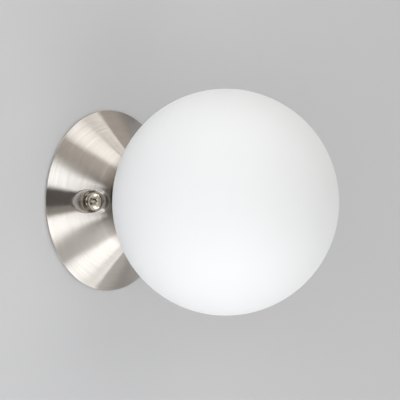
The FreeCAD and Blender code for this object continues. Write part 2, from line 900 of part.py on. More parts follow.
def bulb_tip():
    """The domed solder contact at the bulb's end."""
    low = tip_height
    high = low + bulb_tip_height
    sphere = (bulb_tip_radius ** 2 + bulb_tip_height ** 2) / (2 * bulb_tip_height)
    spread = math.asin(bulb_tip_radius / sphere) / 2
    crown = flat(sphere * math.sin(spread), low + sphere * (1 - math.cos(spread)))
    edges = [
        bow(flat(0, low), crown, flat(bulb_tip_radius, high)),
        straight(flat(bulb_tip_radius, high), flat(0, high)),
        straight(flat(0, high), flat(0, low)),
    ]
    return turned(edges)


def bulb_base_insulator():
    """The dark ring of glass between the tip and the screw shell."""
    return turned_points([
        (0, insulator_base),
        (bulb_tip_radius + insulator_foot, insulator_base),
        (insulator_radius, base_back),
        (insulator_radius, base_back + insulator_rim), (0, base_back + insulator_rim),
    ])


def bulb_base_shell():
    """The bulb's rolled screw shell."""
    inner = base_radius - base_wall
    wave_end = base_back + base_waves * thread_pitch
    edges = [straight(flat(inner, base_back), flat(base_radius, base_back))]
    edges += waves(base_radius, base_back, base_waves, thread_depth)
    edges += straights([flat(base_radius, wave_end), flat(base_radius, base_front), flat(inner, base_front)])
    edges.append(straight(flat(inner, base_front), flat(inner, wave_end)))
    edges += waves(inner, base_back, base_waves, thread_depth)
    return Part.Face(Part.Wire(Part.__sortEdges__(edges))).revolve(ORIGIN, AXIS, full_turn)


def bulb_outline(inset):
    """Half the bulb's outline, a short neck and two smooth sweeps, set in by inset, and closed."""
    neck = bulb_neck_radius - inset
    belly = bulb_radius - inset
    back = base_front - bulb_neck_sunk
    waist = base_front + bulb_waist_height
    end = bulb_end - inset
    reach = bulb_sweep * (waist - base_front)
    shoulder = waist + bulb_fullness * (end - waist)
    edges = [straight(flat(neck, back), flat(neck, base_front))]
    edges.append(bezier([
        flat(neck, base_front),
        flat(neck, base_front + reach),
        flat(belly, waist - reach),
        flat(belly, waist),
    ]))
    edges.append(bezier([
        flat(belly, waist), flat(belly, shoulder), flat(bulb_crown * belly, end), flat(0, end),
    ]))
    edges += straights([flat(0, end), flat(0, back), flat(neck, back)])
    return edges


def bulb_glass():
    """The bulb's clear envelope, open at its neck."""
    return turned(bulb_outline(0)).cut(turned(bulb_outline(glass_thickness)))


def bulb_stem():
    """The glass stem that closes the neck and carries the wires."""
    return turned_points([
        (0, stem_back), (stem_flare, stem_back), (stem_flare, stem_back + stem_foot),
        (stem_radius, stem_back + stem_draw), (stem_radius, stem_top - stem_round),
        (stem_radius - stem_round_width, stem_top), (0, stem_top),
    ])


def ring(radius, height):
    """A wire ring about the Y axis."""
    return Part.makeTorus(radius, ring_wire, Vector(0, -height, 0), AXIS)


def rod(start, end, radius):
    return Part.makeCylinder(radius, (end - start).Length, start, end - start)


def bulb_supports():
    """A low and a high ring, joined by a post and two legs to the stem."""
    low = stem_top + support_lift
    high = low + filament_length
    post = disc(post_radius, stem_top, high + ring_wire)
    spokes = []
    for height, reach in ((low, low_ring_radius), (high, high_ring_radius)):
        spokes.append(rod(Vector(-reach, -height, 0), Vector(reach, -height, 0), spoke_wire))
    return post.fuse([ring(low_ring_radius, low), ring(high_ring_radius, high)] + spokes)


def bulb_filaments():
    """Slim light rods that lean from the low ring to the high ring."""
    low = stem_top + support_lift + ring_wire + filament_radius
    high = low + filament_length - 2 * (ring_wire + filament_radius)
    rods = []
    for k in range(filament_count):
        bearing = full_turn * (k + 0.5) / filament_count
        side = Vector(cosine(bearing), 0, sine(bearing))
        start = side * low_ring_radius + Vector(0, -low, 0)
        end = side * high_ring_radius + Vector(0, -high, 0)
        rods.append(rod(start, end, filament_radius))
    return Part.makeCompound(rods)


def write_parts():
    """Writes each sub-part to its own file, named as a person would name it."""
    right_screw = canopy_screw()
    parts = {
        "mounting_bracket": mounting_bracket(),
        "ground_screw": ground_screw(),
        "canopy": canopy(),
        "canopy_screw_left": opposite(right_screw),
        "canopy_screw_right": right_screw,
        "fitter_cup": fitter_cup(),
        "neck_gasket": neck_gasket(),
        "globe": globe(),
        "nipple": nipple(),
        "lock_washer": lock_washer(),
        "nipple_nut": nipple_nut(),
        "nipple_bushing": nipple_bushing(),
        "socket_strap": socket_strap(),
        "strap_screws": strap_screws(),
        "socket_body": socket_body(),
        "socket_screw_shell": socket_screw_shell(),
        "socket_centre_contact": socket_centre_contact(),
        "contact_rivets": contact_rivets(),
        "terminal_plates": terminal_plates(),
        "terminal_screws": terminal_screws(),
        "bulb_tip": bulb_tip(),
        "bulb_base_insulator": bulb_base_insulator(),
        "bulb_base_shell": bulb_base_shell(),
        "bulb_glass": bulb_glass(),
        "bulb_stem": bulb_stem(),
        "bulb_supports": bulb_supports(),
        "bulb_filaments": bulb_filaments(),
    }
    os.makedirs("parts", exist_ok=True)
    for name, shape in parts.items():
        shape.exportStep("parts/" + name + ".step")
        print(name, len(shape.Solids), shape.isValid(), round(shape.Volume, 2))


write_parts()
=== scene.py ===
import math

import bmesh
import bpy
import numpy as np
from bpy.props import FloatProperty, FloatVectorProperty, IntProperty, PointerProperty
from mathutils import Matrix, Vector


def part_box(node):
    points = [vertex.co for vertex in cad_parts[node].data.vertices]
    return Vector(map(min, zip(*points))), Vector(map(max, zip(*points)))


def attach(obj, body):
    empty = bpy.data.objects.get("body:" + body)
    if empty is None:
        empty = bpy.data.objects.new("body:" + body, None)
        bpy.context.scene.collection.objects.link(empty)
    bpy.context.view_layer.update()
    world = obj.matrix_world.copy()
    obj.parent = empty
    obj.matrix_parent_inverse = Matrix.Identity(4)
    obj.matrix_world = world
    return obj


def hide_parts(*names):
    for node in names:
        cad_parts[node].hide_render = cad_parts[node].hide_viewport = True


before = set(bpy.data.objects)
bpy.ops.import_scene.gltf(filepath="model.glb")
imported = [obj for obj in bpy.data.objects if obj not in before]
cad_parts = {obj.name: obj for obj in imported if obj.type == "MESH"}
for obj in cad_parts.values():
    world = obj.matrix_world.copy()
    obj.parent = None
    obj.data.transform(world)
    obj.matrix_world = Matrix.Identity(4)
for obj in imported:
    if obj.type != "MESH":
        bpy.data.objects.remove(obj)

bl_info = {
    "name": "Globe wall sconce",
    "version": (1, 0, 0),
    "blender": (4, 5, 0),
    "location": "3D View > Sidebar > Sconce",
    "description": "Builds the visible pieces of a globe wall sconce round its packed solids",
    "category": "Add Mesh",
}

# Metres. The wall is the plane y = 0 and the sconce stands out of it towards -Y.
# A profile is an array of (radius from the Y axis, height off the wall).

mm = 0.001
micron = 0.001 * mm
nearly_nothing = 1e-9
full_turn = 2 * math.pi
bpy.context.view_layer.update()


def heights(node):
    """How far off the wall a node starts and ends."""
    low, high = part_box(node)
    return -high.y, -low.y


def half_width(node):
    """How far a node reaches from the canopy's axis."""
    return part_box(node)[1].x


def length(name, text, millimetres):
    return FloatProperty(name=name, description=text, default=millimetres * mm, min=0.0, unit="LENGTH")


def angle(name, text, degrees):
    return FloatProperty(name=name, description=text, default=math.radians(degrees), unit="ROTATION")


def colour(name, text, rgb):
    return FloatVectorProperty(
        name=name, description=text, default=rgb, size=3, subtype="COLOR", min=0, max=1)


def share(name, text, value):
    return FloatProperty(name=name, description=text, default=value, min=0.0)


def count(name, text, value):
    return IntProperty(name=name, description=text, default=value, min=1)


class CanopySizes(bpy.types.PropertyGroup):
    radius: length("Rim radius", "Radius of the rim on the wall", half_width("canopy") / mm)
    wall: length("Wall", "Thickness of the spun metal", 1.0)
    lip: length("Rim lip", "Height of the rim's upright edge", 0.8)
    rim_slope: angle("Rim slope", "Slope of the flank at the rim", 33.0)
    shoulder_slope: angle("Shoulder slope", "Slope of the flank where the shoulder starts", 44.0)
    shoulder_radius: length("Shoulder radius", "Radius of the curve into the neck", 8.0)
    neck_radius: length("Neck radius", "Radius of the neck", 27.0)
    neck_land: length("Neck land", "Straight height at the neck's edge", 0.3)
    screw_tilt: angle("Screw tilt", "Lean of the side screws from the canopy's axis", 72.0)
    screw_radius: length("Screw crossing", "Radius at which a screw's axis meets the flank", 37.531)
    seat_sink: length("Seat depth", "Depth of the seat's middle under the flank", 1.0)
    hollow_radius: length("Hollow radius", "Radius of the seat's flat where it is sunk in", 6.4)
    hollow_slope: share("Hollow slope", "How steeply the metal climbs out of the sunk part", 2.2)
    hollow_soft: length("Hollow edge", "Size of the soft edge where the hollow meets the flank", 2.4)
    pad_radius: length("Pad radius", "Radius of the seat's flat where it stands out", 7.4)
    pad_slope: share("Pad slope", "How steeply the metal falls from the part that stands out", 3.0)
    pad_soft: length("Pad foot", "Size of the soft foot where the pad meets the flank", 2.0)
    seat_reach: length("Seat reach", "Radius round a seat within which the flank may change", 20.0)
    hole_radius: length("Screw hole", "Radius of the hole in a seat", 2.9)
    steps: count("Seat steps", "Grid steps from a seat's middle to its hole's edge", 9)


class ScrewSizes(bpy.types.PropertyGroup):
    head_radius: length("Head radius", "Radius of the domed head", 6.2)
    head_edge: length("Head edge", "Height of the head's upright edge", 1.2)
    head_height: length("Head height", "Height of the head's crown", 4.5)
    lift: length("Seat gap", "Gap between head and seat", 0.05)
    recess_floor: length("Recess floor", "Height of the cross recess's floor", 1.7)
    recess_foot: length("Recess foot", "Half the length of the recess's floor", 1.2)
    recess_half_width: length("Recess half width", "Half the width of a recess arm", 0.8)
    shank_radius: length("Shank radius", "Radius over the thread", 2.4)
    shank_length: length("Shank length", "Length below the head", 10.0)
    pitch: length("Pitch", "Pitch of the screw's thread", 0.8)


class CupSizes(bpy.types.PropertyGroup):
    front: length("Front", "Height of the cup's front edge", heights("fitter_cup")[1] / mm)
    back: length("Back", "Height of the cup's back", heights("fitter_cup")[0] / mm)
    lip: length("Lip", "Thickness of the lip over the canopy's neck", 0.8)
    wall: length("Wall", "Thickness of the drawn metal", 1.0)
    lip_radius: length("Lip radius", "Radius of the lip", 27.0)
    radius: length("Radius", "Outer radius of the cup", 25.95)
    corner: length("Corner", "Outer radius of the cup's back corner", 2.5)
    bore: length("Bore", "Radius of the hole for the nipple", 4.95)
    thread: length("Thread depth", "Depth of the rolled thread", 0.9)
    pitch: length("Pitch", "Pitch of the rolled thread", 4.2)
    thread_end: length("Thread end", "Distance of the thread's front end from the cup's front", 1.9)


class GlobeSizes(bpy.types.PropertyGroup):
    radius: length("Radius", "Outer radius of the globe", half_width("globe") / mm)
    front: length("Front", "Height of the globe's front", heights("globe")[1] / mm)
    back: length("Neck end", "Height of the neck's open end", heights("globe")[0] / mm)
    wall: length("Wall", "Thickness of the glass", 3.0)
    seat: length("Seat", "Height of the shoulder that lies on the gasket", 36.25)
    seat_radius: length("Seat radius", "Radius at which the sphere meets the shoulder", 26.7)
    neck_radius: length("Neck radius", "Outer radius of the neck", 22.65)
    mouth_radius: length("Mouth radius", "Inner radius of the neck", 19.25)
    thread: length("Thread height", "Height of the glass thread", 0.98)
    pitch: length("Pitch", "Pitch of the glass thread", 4.2)
    gasket_inner: length("Gasket inner radius", "Inner radius of the gasket", 23.7)


class HolderSizes(bpy.types.PropertyGroup):
    nipple_radius: length("Nipple radius", "Radius of the threaded tube", 4.9)
    nipple_bore: length("Nipple bore", "Bore of the threaded tube", 3.8)
    nipple_pitch: length("Nipple pitch", "Pitch of the tube's thread", 0.94)
    bushing_wall: length("Bushing wall", "Wall of the bushing's sleeve", 0.5)
    bushing_gap: length("Bushing gap", "Gap between bushing and bore", 0.05)
    shell_radius: length("Shell radius", "Inner radius of the lampholder's shell", 6.15)
    shell_wall: length("Shell wall", "Thickness of the shell's metal", 0.3)
    shell_hole: length("Shell hole", "Radius of the hole in the shell's flange", 4.2)
    thread_depth: length("Thread depth", "Depth of the lamp thread", 0.3)
    thread_pitch: length("Thread pitch", "Pitch of the lamp thread", 2.54)


class BulbSizes(bpy.types.PropertyGroup):
    base_radius: length("Base radius", "Radius of the base's shell at the thread's root", 5.6)
    base_wall: length("Base wall", "Thickness of the base's shell", 0.3)
    neck_radius: length("Neck radius", "Radius of the glass neck", 5.05)
    belly_radius: length("Belly radius", "Largest radius of the glass", 17.5)
    waist: length("Waist", "Distance from the base to the largest radius", 34.0)
    glass: length("Glass", "Thickness of the glass", 0.8)
    base_front: length("Base front", "Height of the base's front edge", heights("bulb_base_shell")[1] / mm)
    stem_radius: length("Stem radius", "Radius of the glass stem", 1.7)
    stem_flare: length("Stem flare", "Radius of the stem's flare", 4.1)
    wire: length("Wire", "Radius of the support wire", 0.35)
    post: length("Post", "Radius of the middle post", 0.4)
    low_ring: length("Low ring", "Radius of the ring near the base", 5.4)
    high_ring: length("High ring", "Radius of the ring near the front", 2.4)
    rod: length("Light rod", "Radius of a light rod", 0.75)
    rods: count("Light rods", "Number of light rods", 4)


class SconceColours(bpy.types.PropertyGroup):
    brushed_nickel: colour("Brushed nickel", "Satin nickel of canopy and cup", (0.70, 0.661, 0.620))
    # Painted shade: a dark brown that stands in for the shade and dark reflection in the tight turn by the
    # neck
    neck_painted_shade: colour("Painted_neck_shade", "Nickel in the tight turn by the neck", (0.27, 0.235, 0.19))
    polished_nickel: colour("Polished nickel", "Side screws", (0.74, 0.68, 0.59))
    opal_glass: colour("Opal glass", "Matte white globe", (0.815, 0.815, 0.818))
    clear_glass: colour("Clear glass", "Bulb and stem", (0.97, 0.98, 0.98))
    zinc_steel: colour("Zinc", "Plated steel pieces", (0.66, 0.67, 0.68))
    green_steel: colour("Green", "Ground screw", (0.08, 0.38, 0.16))
    worn_green: colour("Worn green", "Ground screw where its green is rubbed", (0.35, 0.48, 0.34))
    silicone: colour("Silicone", "Neck gasket", (0.86, 0.86, 0.84))
    bushing_plastic: colour("Bushing", "Moulded bushing", (0.03, 0.03, 0.032))
    porcelain: colour("Porcelain", "Glazed lampholder", (0.90, 0.89, 0.86))
    brass: colour("Brass", "Contacts and terminals", (0.80, 0.60, 0.30))
    shell_nickel: colour("Plated shell", "Screw shells", (0.74, 0.71, 0.66))
    base_glass: colour("Base glass", "Dark glass of the bulb's base", (0.03, 0.03, 0.035))
    solder: colour("Solder", "Bulb tip", (0.66, 0.66, 0.66))
    support_wire: colour("Wire", "Bulb supports", (0.55, 0.54, 0.52))
    phosphor: colour("Phosphor", "Light rods", (0.92, 0.62, 0.12))
    backdrop: colour("Backdrop", "Wall behind the sconce", (0.580, 0.578, 0.585))
    floor: colour("Floor", "Studio floor", (0.82, 0.82, 0.82))
    lamps: colour("Lamps", "Light of the lamps", (0.955, 0.98, 1.0))
    room: colour("Room", "Light of the room", (1.0, 0.93, 0.85))


class StudioSettings(bpy.types.PropertyGroup):
    azimuth: angle("Azimuth", "Camera's bearing left of the wall's normal", -48.97)
    elevation: angle("Elevation", "Camera's height above level", 0.88)
    distance: length("Distance", "Camera's distance from its target", 1529.0)
    target_x: length("Target to the right", "Target's place across the wall", 35.39)
    target_height: length("Target height", "Target's height off the wall", 54.01)
    target_z: length("Target up", "Target's place up the wall", 0.49)
    lens: FloatProperty(name="Lens", description="Focal length in mm", default=196.4, min=1.0)
    strip_radiance: share("Strip light", "Brightness of the two strips in front", 1.48)
    bank_radiance: share("Bank light", "Brightness of the high and low banks", 1.02)
    edge_radiance: share("Edge light", "Brightness of the panels beside the banks", 0.5)
    spark_radiance: share("Spark light", "Brightness of the small panels that the screws' domes mirror", 1.6)
    wash_radiance: share("Wash light", "Brightness of the panels over and under the globe", 0.95)
    fill_radiance: share("Fill light", "Brightness of the large panel on the left", 3.15)
    side_radiance: share("Side light", "Brightness of the panel on the right", 2.1)
    back_radiance: share("Back light", "Brightness of the light behind the wall", 3.0)
    sky: share("Sky", "World brightness overhead and below", 0.51)
    horizon: share("Horizon", "World brightness at eye level", 0.065)


# Shapes


def arc(centre, radius, start, end, steps):
    """A circle's arc: the centre plus radius times (cos t, sin t), with t from start to end."""
    t = np.linspace(start, end, steps + 1)
    return np.array(centre) + radius * np.stack([np.cos(t), np.sin(t)], axis=-1)


def rounded(corners, steps=5):
    """A closed outline whose corners are arcs.

    Each corner is (radius, height, rounding). The arc touches both runs: its ends lie at
    rounding / tan(half the corner's angle) along them, and its points turn evenly about the
    centre, which is at rounding / sin(half the angle) along the bisector.
    """
    corners = np.array(corners, float)
    points, size = corners[:, :2], corners[:, 2:3]
    back = np.roll(points, 1, axis=0) - points
    ahead = np.roll(points, -1, axis=0) - points
    back /= np.linalg.norm(back, axis=1, keepdims=True)
    ahead /= np.linalg.norm(ahead, axis=1, keepdims=True)
    half = np.arccos(np.clip(np.sum(back * ahead, axis=1, keepdims=True), -1, 1)) / 2
    bisector = back + ahead
    bisector /= np.linalg.norm(bisector, axis=1, keepdims=True)
    centre = points + bisector * size / np.sin(half)
    first = points + back * size / np.tan(half) - centre
    last = points + ahead * size / np.tan(half) - centre
    sweep = (np.pi - 2 * half)[:, :, None]
    t = np.linspace(0, 1, steps + 1)[None, :, None]
    spokes = np.sin((1 - t) * sweep) * first[:, None] + np.sin(t * sweep) * last[:, None]
    return (centre[:, None] + spokes / np.sin(sweep)).reshape(-1, 2)


def bends(corners, steps=5):
    """The arcs at an open outline's corners, whose first and last corner only aim its ends."""
    return rounded(corners, steps)[steps + 1:-steps - 1]


def bezier(poles, steps):
    """A cubic curve: the poles weighted by (1-t)^3, 3t(1-t)^2, 3t^2(1-t) and t^3."""
    t = np.linspace(0, 1, steps + 1)[:, None]
    a, b, c, d = np.array(poles, float)
    return (1 - t) ** 3 * a + 3 * t * (1 - t) ** 2 * b + 3 * t ** 2 * (1 - t) * c + t ** 3 * d


def straight(radius, rows):
    """A profile along the axis: the same radius at each height."""
    return np.stack([np.full(len(rows), radius), rows], axis=-1)


def smooth(x):
    """0 below 0, 1 above 1, and 3x^2 - 2x^3 between."""
    x = np.clip(x, 0, 1)
    return x * x * (3 - 2 * x)


sides = {
    "fitter_cup": 144, "globe": 192, "neck_gasket": 128, "nipple": 56, "nipple_bushing": 64, "shells": 72,
    "bulb_glass": 96, "bulb_tip": 40, "bulb_base_insulator": 48, "bulb_stem": 40, "hoops": 48,
}


def round_angles(steps):
    """The bearings of a turned piece's sides."""
    return np.arange(steps) * full_turn / steps


def turned(profile, angles, swell=None):
    """A surface of revolution: (r cos a, -h, r sin a) for each profile point and each angle.

    swell is a function of height and angle that is added to the radius.
    """
    radius = profile[:, 0:1] + np.zeros(len(angles))
    height = profile[:, 1:2] + np.zeros(len(angles))
    if swell is not None:
        radius = radius + swell(height, angles[None, :])
    return np.stack([radius * np.cos(angles), -height, radius * np.sin(angles)], axis=-1)


def helix_phase(height, around, start, pitch):
    """How far a point is from the nearest crest of a right-hand thread, from -0.5 to 0.5 pitches."""
    phase = (height - start) / pitch - around / full_turn
    return phase - np.round(phase)


def thread(start, pitch, low, high, fade, depth, foot, sharp=False):
    """A right-hand thread on a turned face, as a function of height and bearing.

    It is depth high on its crest and 0 at the distance foot from it, down a straight side where it
    is sharp and down half a cosine wave otherwise. A negative depth cuts a groove. Over the length
    fade it rises smoothly from 0 at low, and falls again to 0 at high.
    """
    def swell(height, around):
        off = np.clip(np.abs(helix_phase(height, around, start, pitch)) * pitch / foot, 0, 1)
        side = 1 - off if sharp else 0.5 + 0.5 * np.cos(np.pi * off)
        return depth * side * smooth((height - low) / fade) * smooth((high - height) / fade)
    return swell


def quads(rows, columns, close_rows, close_columns):
    """The corner numbers of a grid's cells as an array of shape (rows, columns, 4)."""
    r = np.arange(rows if close_rows else rows - 1)[:, None]
    c = np.arange(columns if close_columns else columns - 1)[None, :]
    r2, c2 = (r + 1) % rows, (c + 1) % columns
    corners = [r * columns + c, r * columns + c2, r2 * columns + c2, r2 * columns + c]
    return np.stack(np.broadcast_arrays(*corners), axis=-1)


def tube(path, radius, around, closed=False):
    """A round tube: each path point plus radius times a circle in the plane square to the path.

    The circle's two axes are the path's direction crossed with a fixed side, and crossed again.
    """
    ring_side, rod_side = (0.13, 1.0, 0.07), (0.9, 0.05, 0.43)
    path = np.array(path, float)
    ahead = np.roll(path, -1, axis=0) - np.roll(path, 1, axis=0)
    if not closed:
        ahead[0], ahead[-1] = path[1] - path[0], path[-1] - path[-2]
    ahead /= np.linalg.norm(ahead, axis=1, keepdims=True)
    side = np.cross(ahead, ring_side if closed else rod_side)
    side /= np.linalg.norm(side, axis=1, keepdims=True)
    other = np.cross(ahead, side)
    a = round_angles(around)[None, :, None]
    radius = np.broadcast_to(np.array(radius, float).reshape(-1, 1, 1), (len(path), 1, 1))
    return path[:, None] + radius * (np.cos(a) * side[:, None] + np.sin(a) * other[:, None])


def capsule(start, end, radius, around=16):
    """A rod with round ends: a tube whose radius follows a quarter circle at each end."""
    steps = 5
    start, end = np.array(start, float), np.array(end, float)
    whole = np.linalg.norm(end - start)
    t = np.linspace(0, np.pi / 2, steps + 1)
    near = radius * (1 - np.cos(t))
    along = np.concatenate([near, whole - near[::-1]])
    widths = np.concatenate([radius * np.sin(t), radius * np.sin(t)[::-1]])
    return tube(start + (end - start) * (along / whole)[:, None], widths, around)


# Meshes


def finish_mesh(mesh, sharp):
    """Merges doubled points, drops what they leave empty, turns the faces outwards and smooths."""
    same_point, no_edge = 2e-7, 1e-8
    work = bmesh.new()
    work.from_mesh(mesh)
    bmesh.ops.remove_doubles(work, verts=work.verts, dist=same_point)
    bmesh.ops.dissolve_degenerate(work, edges=work.edges, dist=no_edge)
    loose = [e for e in work.edges if not e.link_faces]
    bmesh.ops.delete(work, geom=loose, context="EDGES")
    bmesh.ops.recalc_face_normals(work, faces=work.faces)
    work.to_mesh(mesh)
    work.free()
    mesh.shade_smooth()
    mesh.set_sharp_from_angle(angle=math.radians(sharp))


def mesh_from(name, sheets, sharp=38):
    """One mesh from (points, faces) pairs, where faces number the points of their own sheet."""
    starts = np.cumsum([0] + [len(points) for points, faces in sheets])
    points = np.concatenate([points for points, faces in sheets])
    faces = np.concatenate([faces + start for (_, faces), start in zip(sheets, starts)])
    mesh = bpy.data.meshes.new(name)
    mesh.vertices.add(len(points))
    mesh.vertices.foreach_set("co", points.astype(np.float32).ravel())
    mesh.loops.add(faces.size)
    mesh.loops.foreach_set("vertex_index", faces.astype(np.int32).ravel())
    mesh.polygons.add(len(faces))
    mesh.polygons.foreach_set("loop_start", np.arange(0, faces.size, 4, dtype=np.int32))
    mesh.update(calc_edges=True)
    finish_mesh(mesh, sharp)
    return mesh


def grid(points, close_rows=False, close_columns=True):
    """A sheet of (points, faces) from a grid of points with the shape (rows, columns, 3)."""
    rows, columns = points.shape[:2]
    return points.reshape(-1, 3), quads(rows, columns, close_rows, close_columns).reshape(-1, 4)


def ring(profile, steps, swell=None):
    """A turned piece whose profile is a closed outline clear of the axis."""
    return grid(turned(profile, round_angles(steps), swell), close_rows=True)


def lathe(profile, steps):
    """A turned piece whose profile starts and ends on the axis."""
    return grid(turned(profile, round_angles(steps)))


def opposite(points):
    """The points turned half way round the Y axis."""
    return points * np.array([-1.0, 1.0, -1.0])


def add_piece(name, mesh, body, slot, nodes):
    """Links the mesh as a piece that rides on a body and takes the place of the given nodes."""
    piece = bpy.data.objects.new(name, mesh)
    bpy.context.scene.collection.objects.link(piece)
    mesh.materials.append(bpy.data.materials[slot + "_finish"])
    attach(piece, body)
    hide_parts(*nodes)


# Shader helpers


def put(tree, kind, inputs=None, **settings):
    """Adds a shader node. inputs maps socket names or numbers to a constant or another socket."""
    made = tree.nodes.new(kind)
    for key, value in settings.items():
        setattr(made, key, value)
    for key, value in (inputs or {}).items():
        if isinstance(value, bpy.types.NodeSocket):
            tree.links.new(value, made.inputs[key])
        else:
            made.inputs[key].default_value = value
    return made


def calc(tree, operation, a, b=0.0, c=0.0):
    """One Math node's result."""
    return put(tree, "ShaderNodeMath", {0: a, 1: b, 2: c}, operation=operation).outputs[0]


def weigh(tree, a, share_a, b, share_b):
    """Two values added, each times its share."""
    return calc(tree, "MULTIPLY_ADD", a, share_a, calc(tree, "MULTIPLY", b, share_b))


def blend_colours(tree, factor, a, b):
    """A mix of two colours by a mask."""
    return put(tree, "ShaderNodeMix", {0: factor, 6: a, 7: b}, data_type="RGBA").outputs[2]


def span(tree, value, low, high, new_low=0.0, new_high=1.0):
    """The value carried from one range to another, and held within it."""
    inputs = {0: value, 1: low, 2: high, 3: new_low, 4: new_high}
    return put(tree, "ShaderNodeMapRange", inputs).outputs[0]


def object_place(tree):
    """A point's place in its object."""
    return put(tree, "ShaderNodeTexCoord").outputs["Object"]


def noise(tree, place, scale, detail):
    """A noise texture read at a place."""
    return put(tree, "ShaderNodeTexNoise", {"Vector": place, "Scale": scale, "Detail": detail}).outputs[0]


def new_group(name, inputs, outputs):
    """An empty shader group with float inputs {name: default} and float outputs."""
    group = bpy.data.node_groups.new(name, "ShaderNodeTree")
    for title, value in inputs.items():
        socket = group.interface.new_socket(name=title, in_out="INPUT", socket_type="NodeSocketFloat")
        socket.default_value = value
    for title in outputs:
        group.interface.new_socket(name=title, in_out="OUTPUT", socket_type="NodeSocketFloat")
    return group, group.nodes.new("NodeGroupInput").outputs, group.nodes.new("NodeGroupOutput").inputs


def lathe_lines_group():
    """Fine lines round the Y axis, as a lathe and a brush leave them.

    A noise is read at (radius, height) times the fineness, so it changes fast across the lines,
    and is shifted by the bearing times the drift, so that each line fades in and out round the axis.
    """
    fine, broad, least_radius = 1.0, 0.12, 0.1 * mm
    tree, given, result = new_group("lathe_lines", {"Fineness": 3000.0, "Drift": 2.0}, ["Lines", "Broad"])
    apart = put(tree, "ShaderNodeSeparateXYZ", {0: object_place(tree)}).outputs
    across = calc(tree, "ADD", calc(tree, "POWER", apart[0], 2.0), calc(tree, "POWER", apart[2], 2.0))
    radius = calc(tree, "ADD", calc(tree, "SQRT", across), least_radius)
    shift_x = calc(tree, "MULTIPLY", calc(tree, "DIVIDE", apart[0], radius), given["Drift"])
    shift_z = calc(tree, "MULTIPLY", calc(tree, "DIVIDE", apart[2], radius), given["Drift"])
    for title, factor in (("Lines", fine), ("Broad", broad)):
        fineness = calc(tree, "MULTIPLY", given["Fineness"], factor)
        x = calc(tree, "MULTIPLY_ADD", radius, fineness, shift_x)
        y = calc(tree, "MULTIPLY_ADD", apart[1], fineness, shift_z)
        read = put(tree, "ShaderNodeCombineXYZ", {0: x, 1: y, 2: shift_x}).outputs[0]
        tree.links.new(noise(tree, read, 1.0, 3.0), result[title])


def mottle_group():
    """Soft uneven patches: a coarse noise and a much finer one, added."""
    times_finer = 14.0
    tree, given, result = new_group("mottle", {"Scale": 60.0, "Fine Share": 0.35}, ["Patches", "Grain"])
    place = object_place(tree)
    coarse = noise(tree, place, given["Scale"], 2.0)
    fine = noise(tree, place, calc(tree, "MULTIPLY", given["Scale"], times_finer), 4.0)
    rest = calc(tree, "SUBTRACT", 1.0, given["Fine Share"])
    tree.links.new(weigh(tree, fine, given["Fine Share"], coarse, rest), result["Patches"])
    tree.links.new(fine, result["Grain"])


def scratches_group():
    """Fine handling marks: thin crests of two noises that are stretched along crossing directions."""
    turns_and_stretches = (((0.3, 0.2, 0.5), (1.0, 0.08, 1.0)), ((1.2, 0.9, 0.1), (0.07, 1.0, 1.0)))
    tree, given, result = new_group("scratches", {"Scale": 300.0, "Width": 0.03}, ["Marks"])
    place = object_place(tree)
    total = 0.0
    for turn, stretch in turns_and_stretches:
        way = {"Vector": place, "Rotation": turn, "Scale": stretch}
        laid = put(tree, "ShaderNodeMapping", way).outputs[0]
        off = calc(tree, "ABSOLUTE", calc(tree, "SUBTRACT", noise(tree, laid, given["Scale"], 1.0), 0.5))
        line = calc(tree, "SUBTRACT", 1.0, calc(tree, "DIVIDE", off, given["Width"]))
        total = calc(tree, "MAXIMUM", line, total)
    tree.links.new(total, result["Marks"])


def pits_group():
    """Small round pits or pinholes, thinly spread: the middles of cells whose chance number is low."""
    pit_radius = 0.35
    tree, given, result = new_group("pits", {"Scale": 900.0, "Share": 0.2}, ["Pits"])
    cells = put(tree, "ShaderNodeTexVoronoi", {"Vector": object_place(tree), "Scale": given["Scale"]})
    chance = put(tree, "ShaderNodeSeparateColor", {0: cells.outputs["Color"]}).outputs[0]
    chosen = calc(tree, "LESS_THAN", chance, given["Share"])
    round_spot = span(tree, cells.outputs["Distance"], 0.0, pit_radius, 1.0, 0.0)
    tree.links.new(calc(tree, "MULTIPLY", round_spot, chosen), result["Pits"])


def use(tree, name, **values):
    """One of the groups above, placed in a material with its own values."""
    made = put(tree, "ShaderNodeGroup", node_tree=bpy.data.node_groups[name])
    for key, value in values.items():
        made.inputs[key.replace("_", " ")].default_value = value
    return made.outputs


def shades(rgb, dark, light):
    """A colour's darker and lighter shade, with full opacity."""
    return [[min(1.0, part * factor) for part in rgb] + [1.0] for factor in (dark, light)]


def new_material(name):
    """A new material's node tree, and in it the shader, which is joined to the output."""
    material = bpy.data.materials.new(name + "_finish")
    material.use_nodes = True
    tree = material.node_tree
    tree.nodes.clear()
    shader = put(tree, "ShaderNodeBsdfPrincipled")
    output = put(tree, "ShaderNodeOutputMaterial")
    tree.links.new(shader.outputs[0], output.inputs["Surface"])
    return tree, shader


def dress(tree, shader, colour_pair, mask, rough_mask, height, rough_pair, depth, **constants):
    """Sets a finish and gives back its colour.

    The colour and the roughness vary with masks, the height becomes relief that is depth microns
    deep, and the rest is constant.
    """
    tinted = blend_colours(tree, mask, *colour_pair)
    tree.links.new(tinted, shader.inputs["Base Color"])
    tree.links.new(span(tree, rough_mask, 0.0, 1.0, *rough_pair), shader.inputs["Roughness"])
    bump = put(tree, "ShaderNodeBump", {"Height": height, "Distance": depth * micron, "Strength": 1.0})
    tree.links.new(bump.outputs[0], shader.inputs["Normal"])
    for key, value in constants.items():
        shader.inputs[key.replace("_", " ")].default_value = value
    return tinted


def mottled(name, pair, scale, fine, rough_pair, depth, relief="Grain", **constants):
    """A finish with one mottle, whose patches vary the colour and whose grain varies the roughness."""
    tree, shader = new_material(name)
    mottle = use(tree, "mottle", Scale=scale, Fine_Share=fine)
    patches, grain = mottle["Patches"], mottle["Grain"]
    dress(tree, shader, pair, patches, grain, mottle[relief], rough_pair, depth, **constants)
    return tree, shader


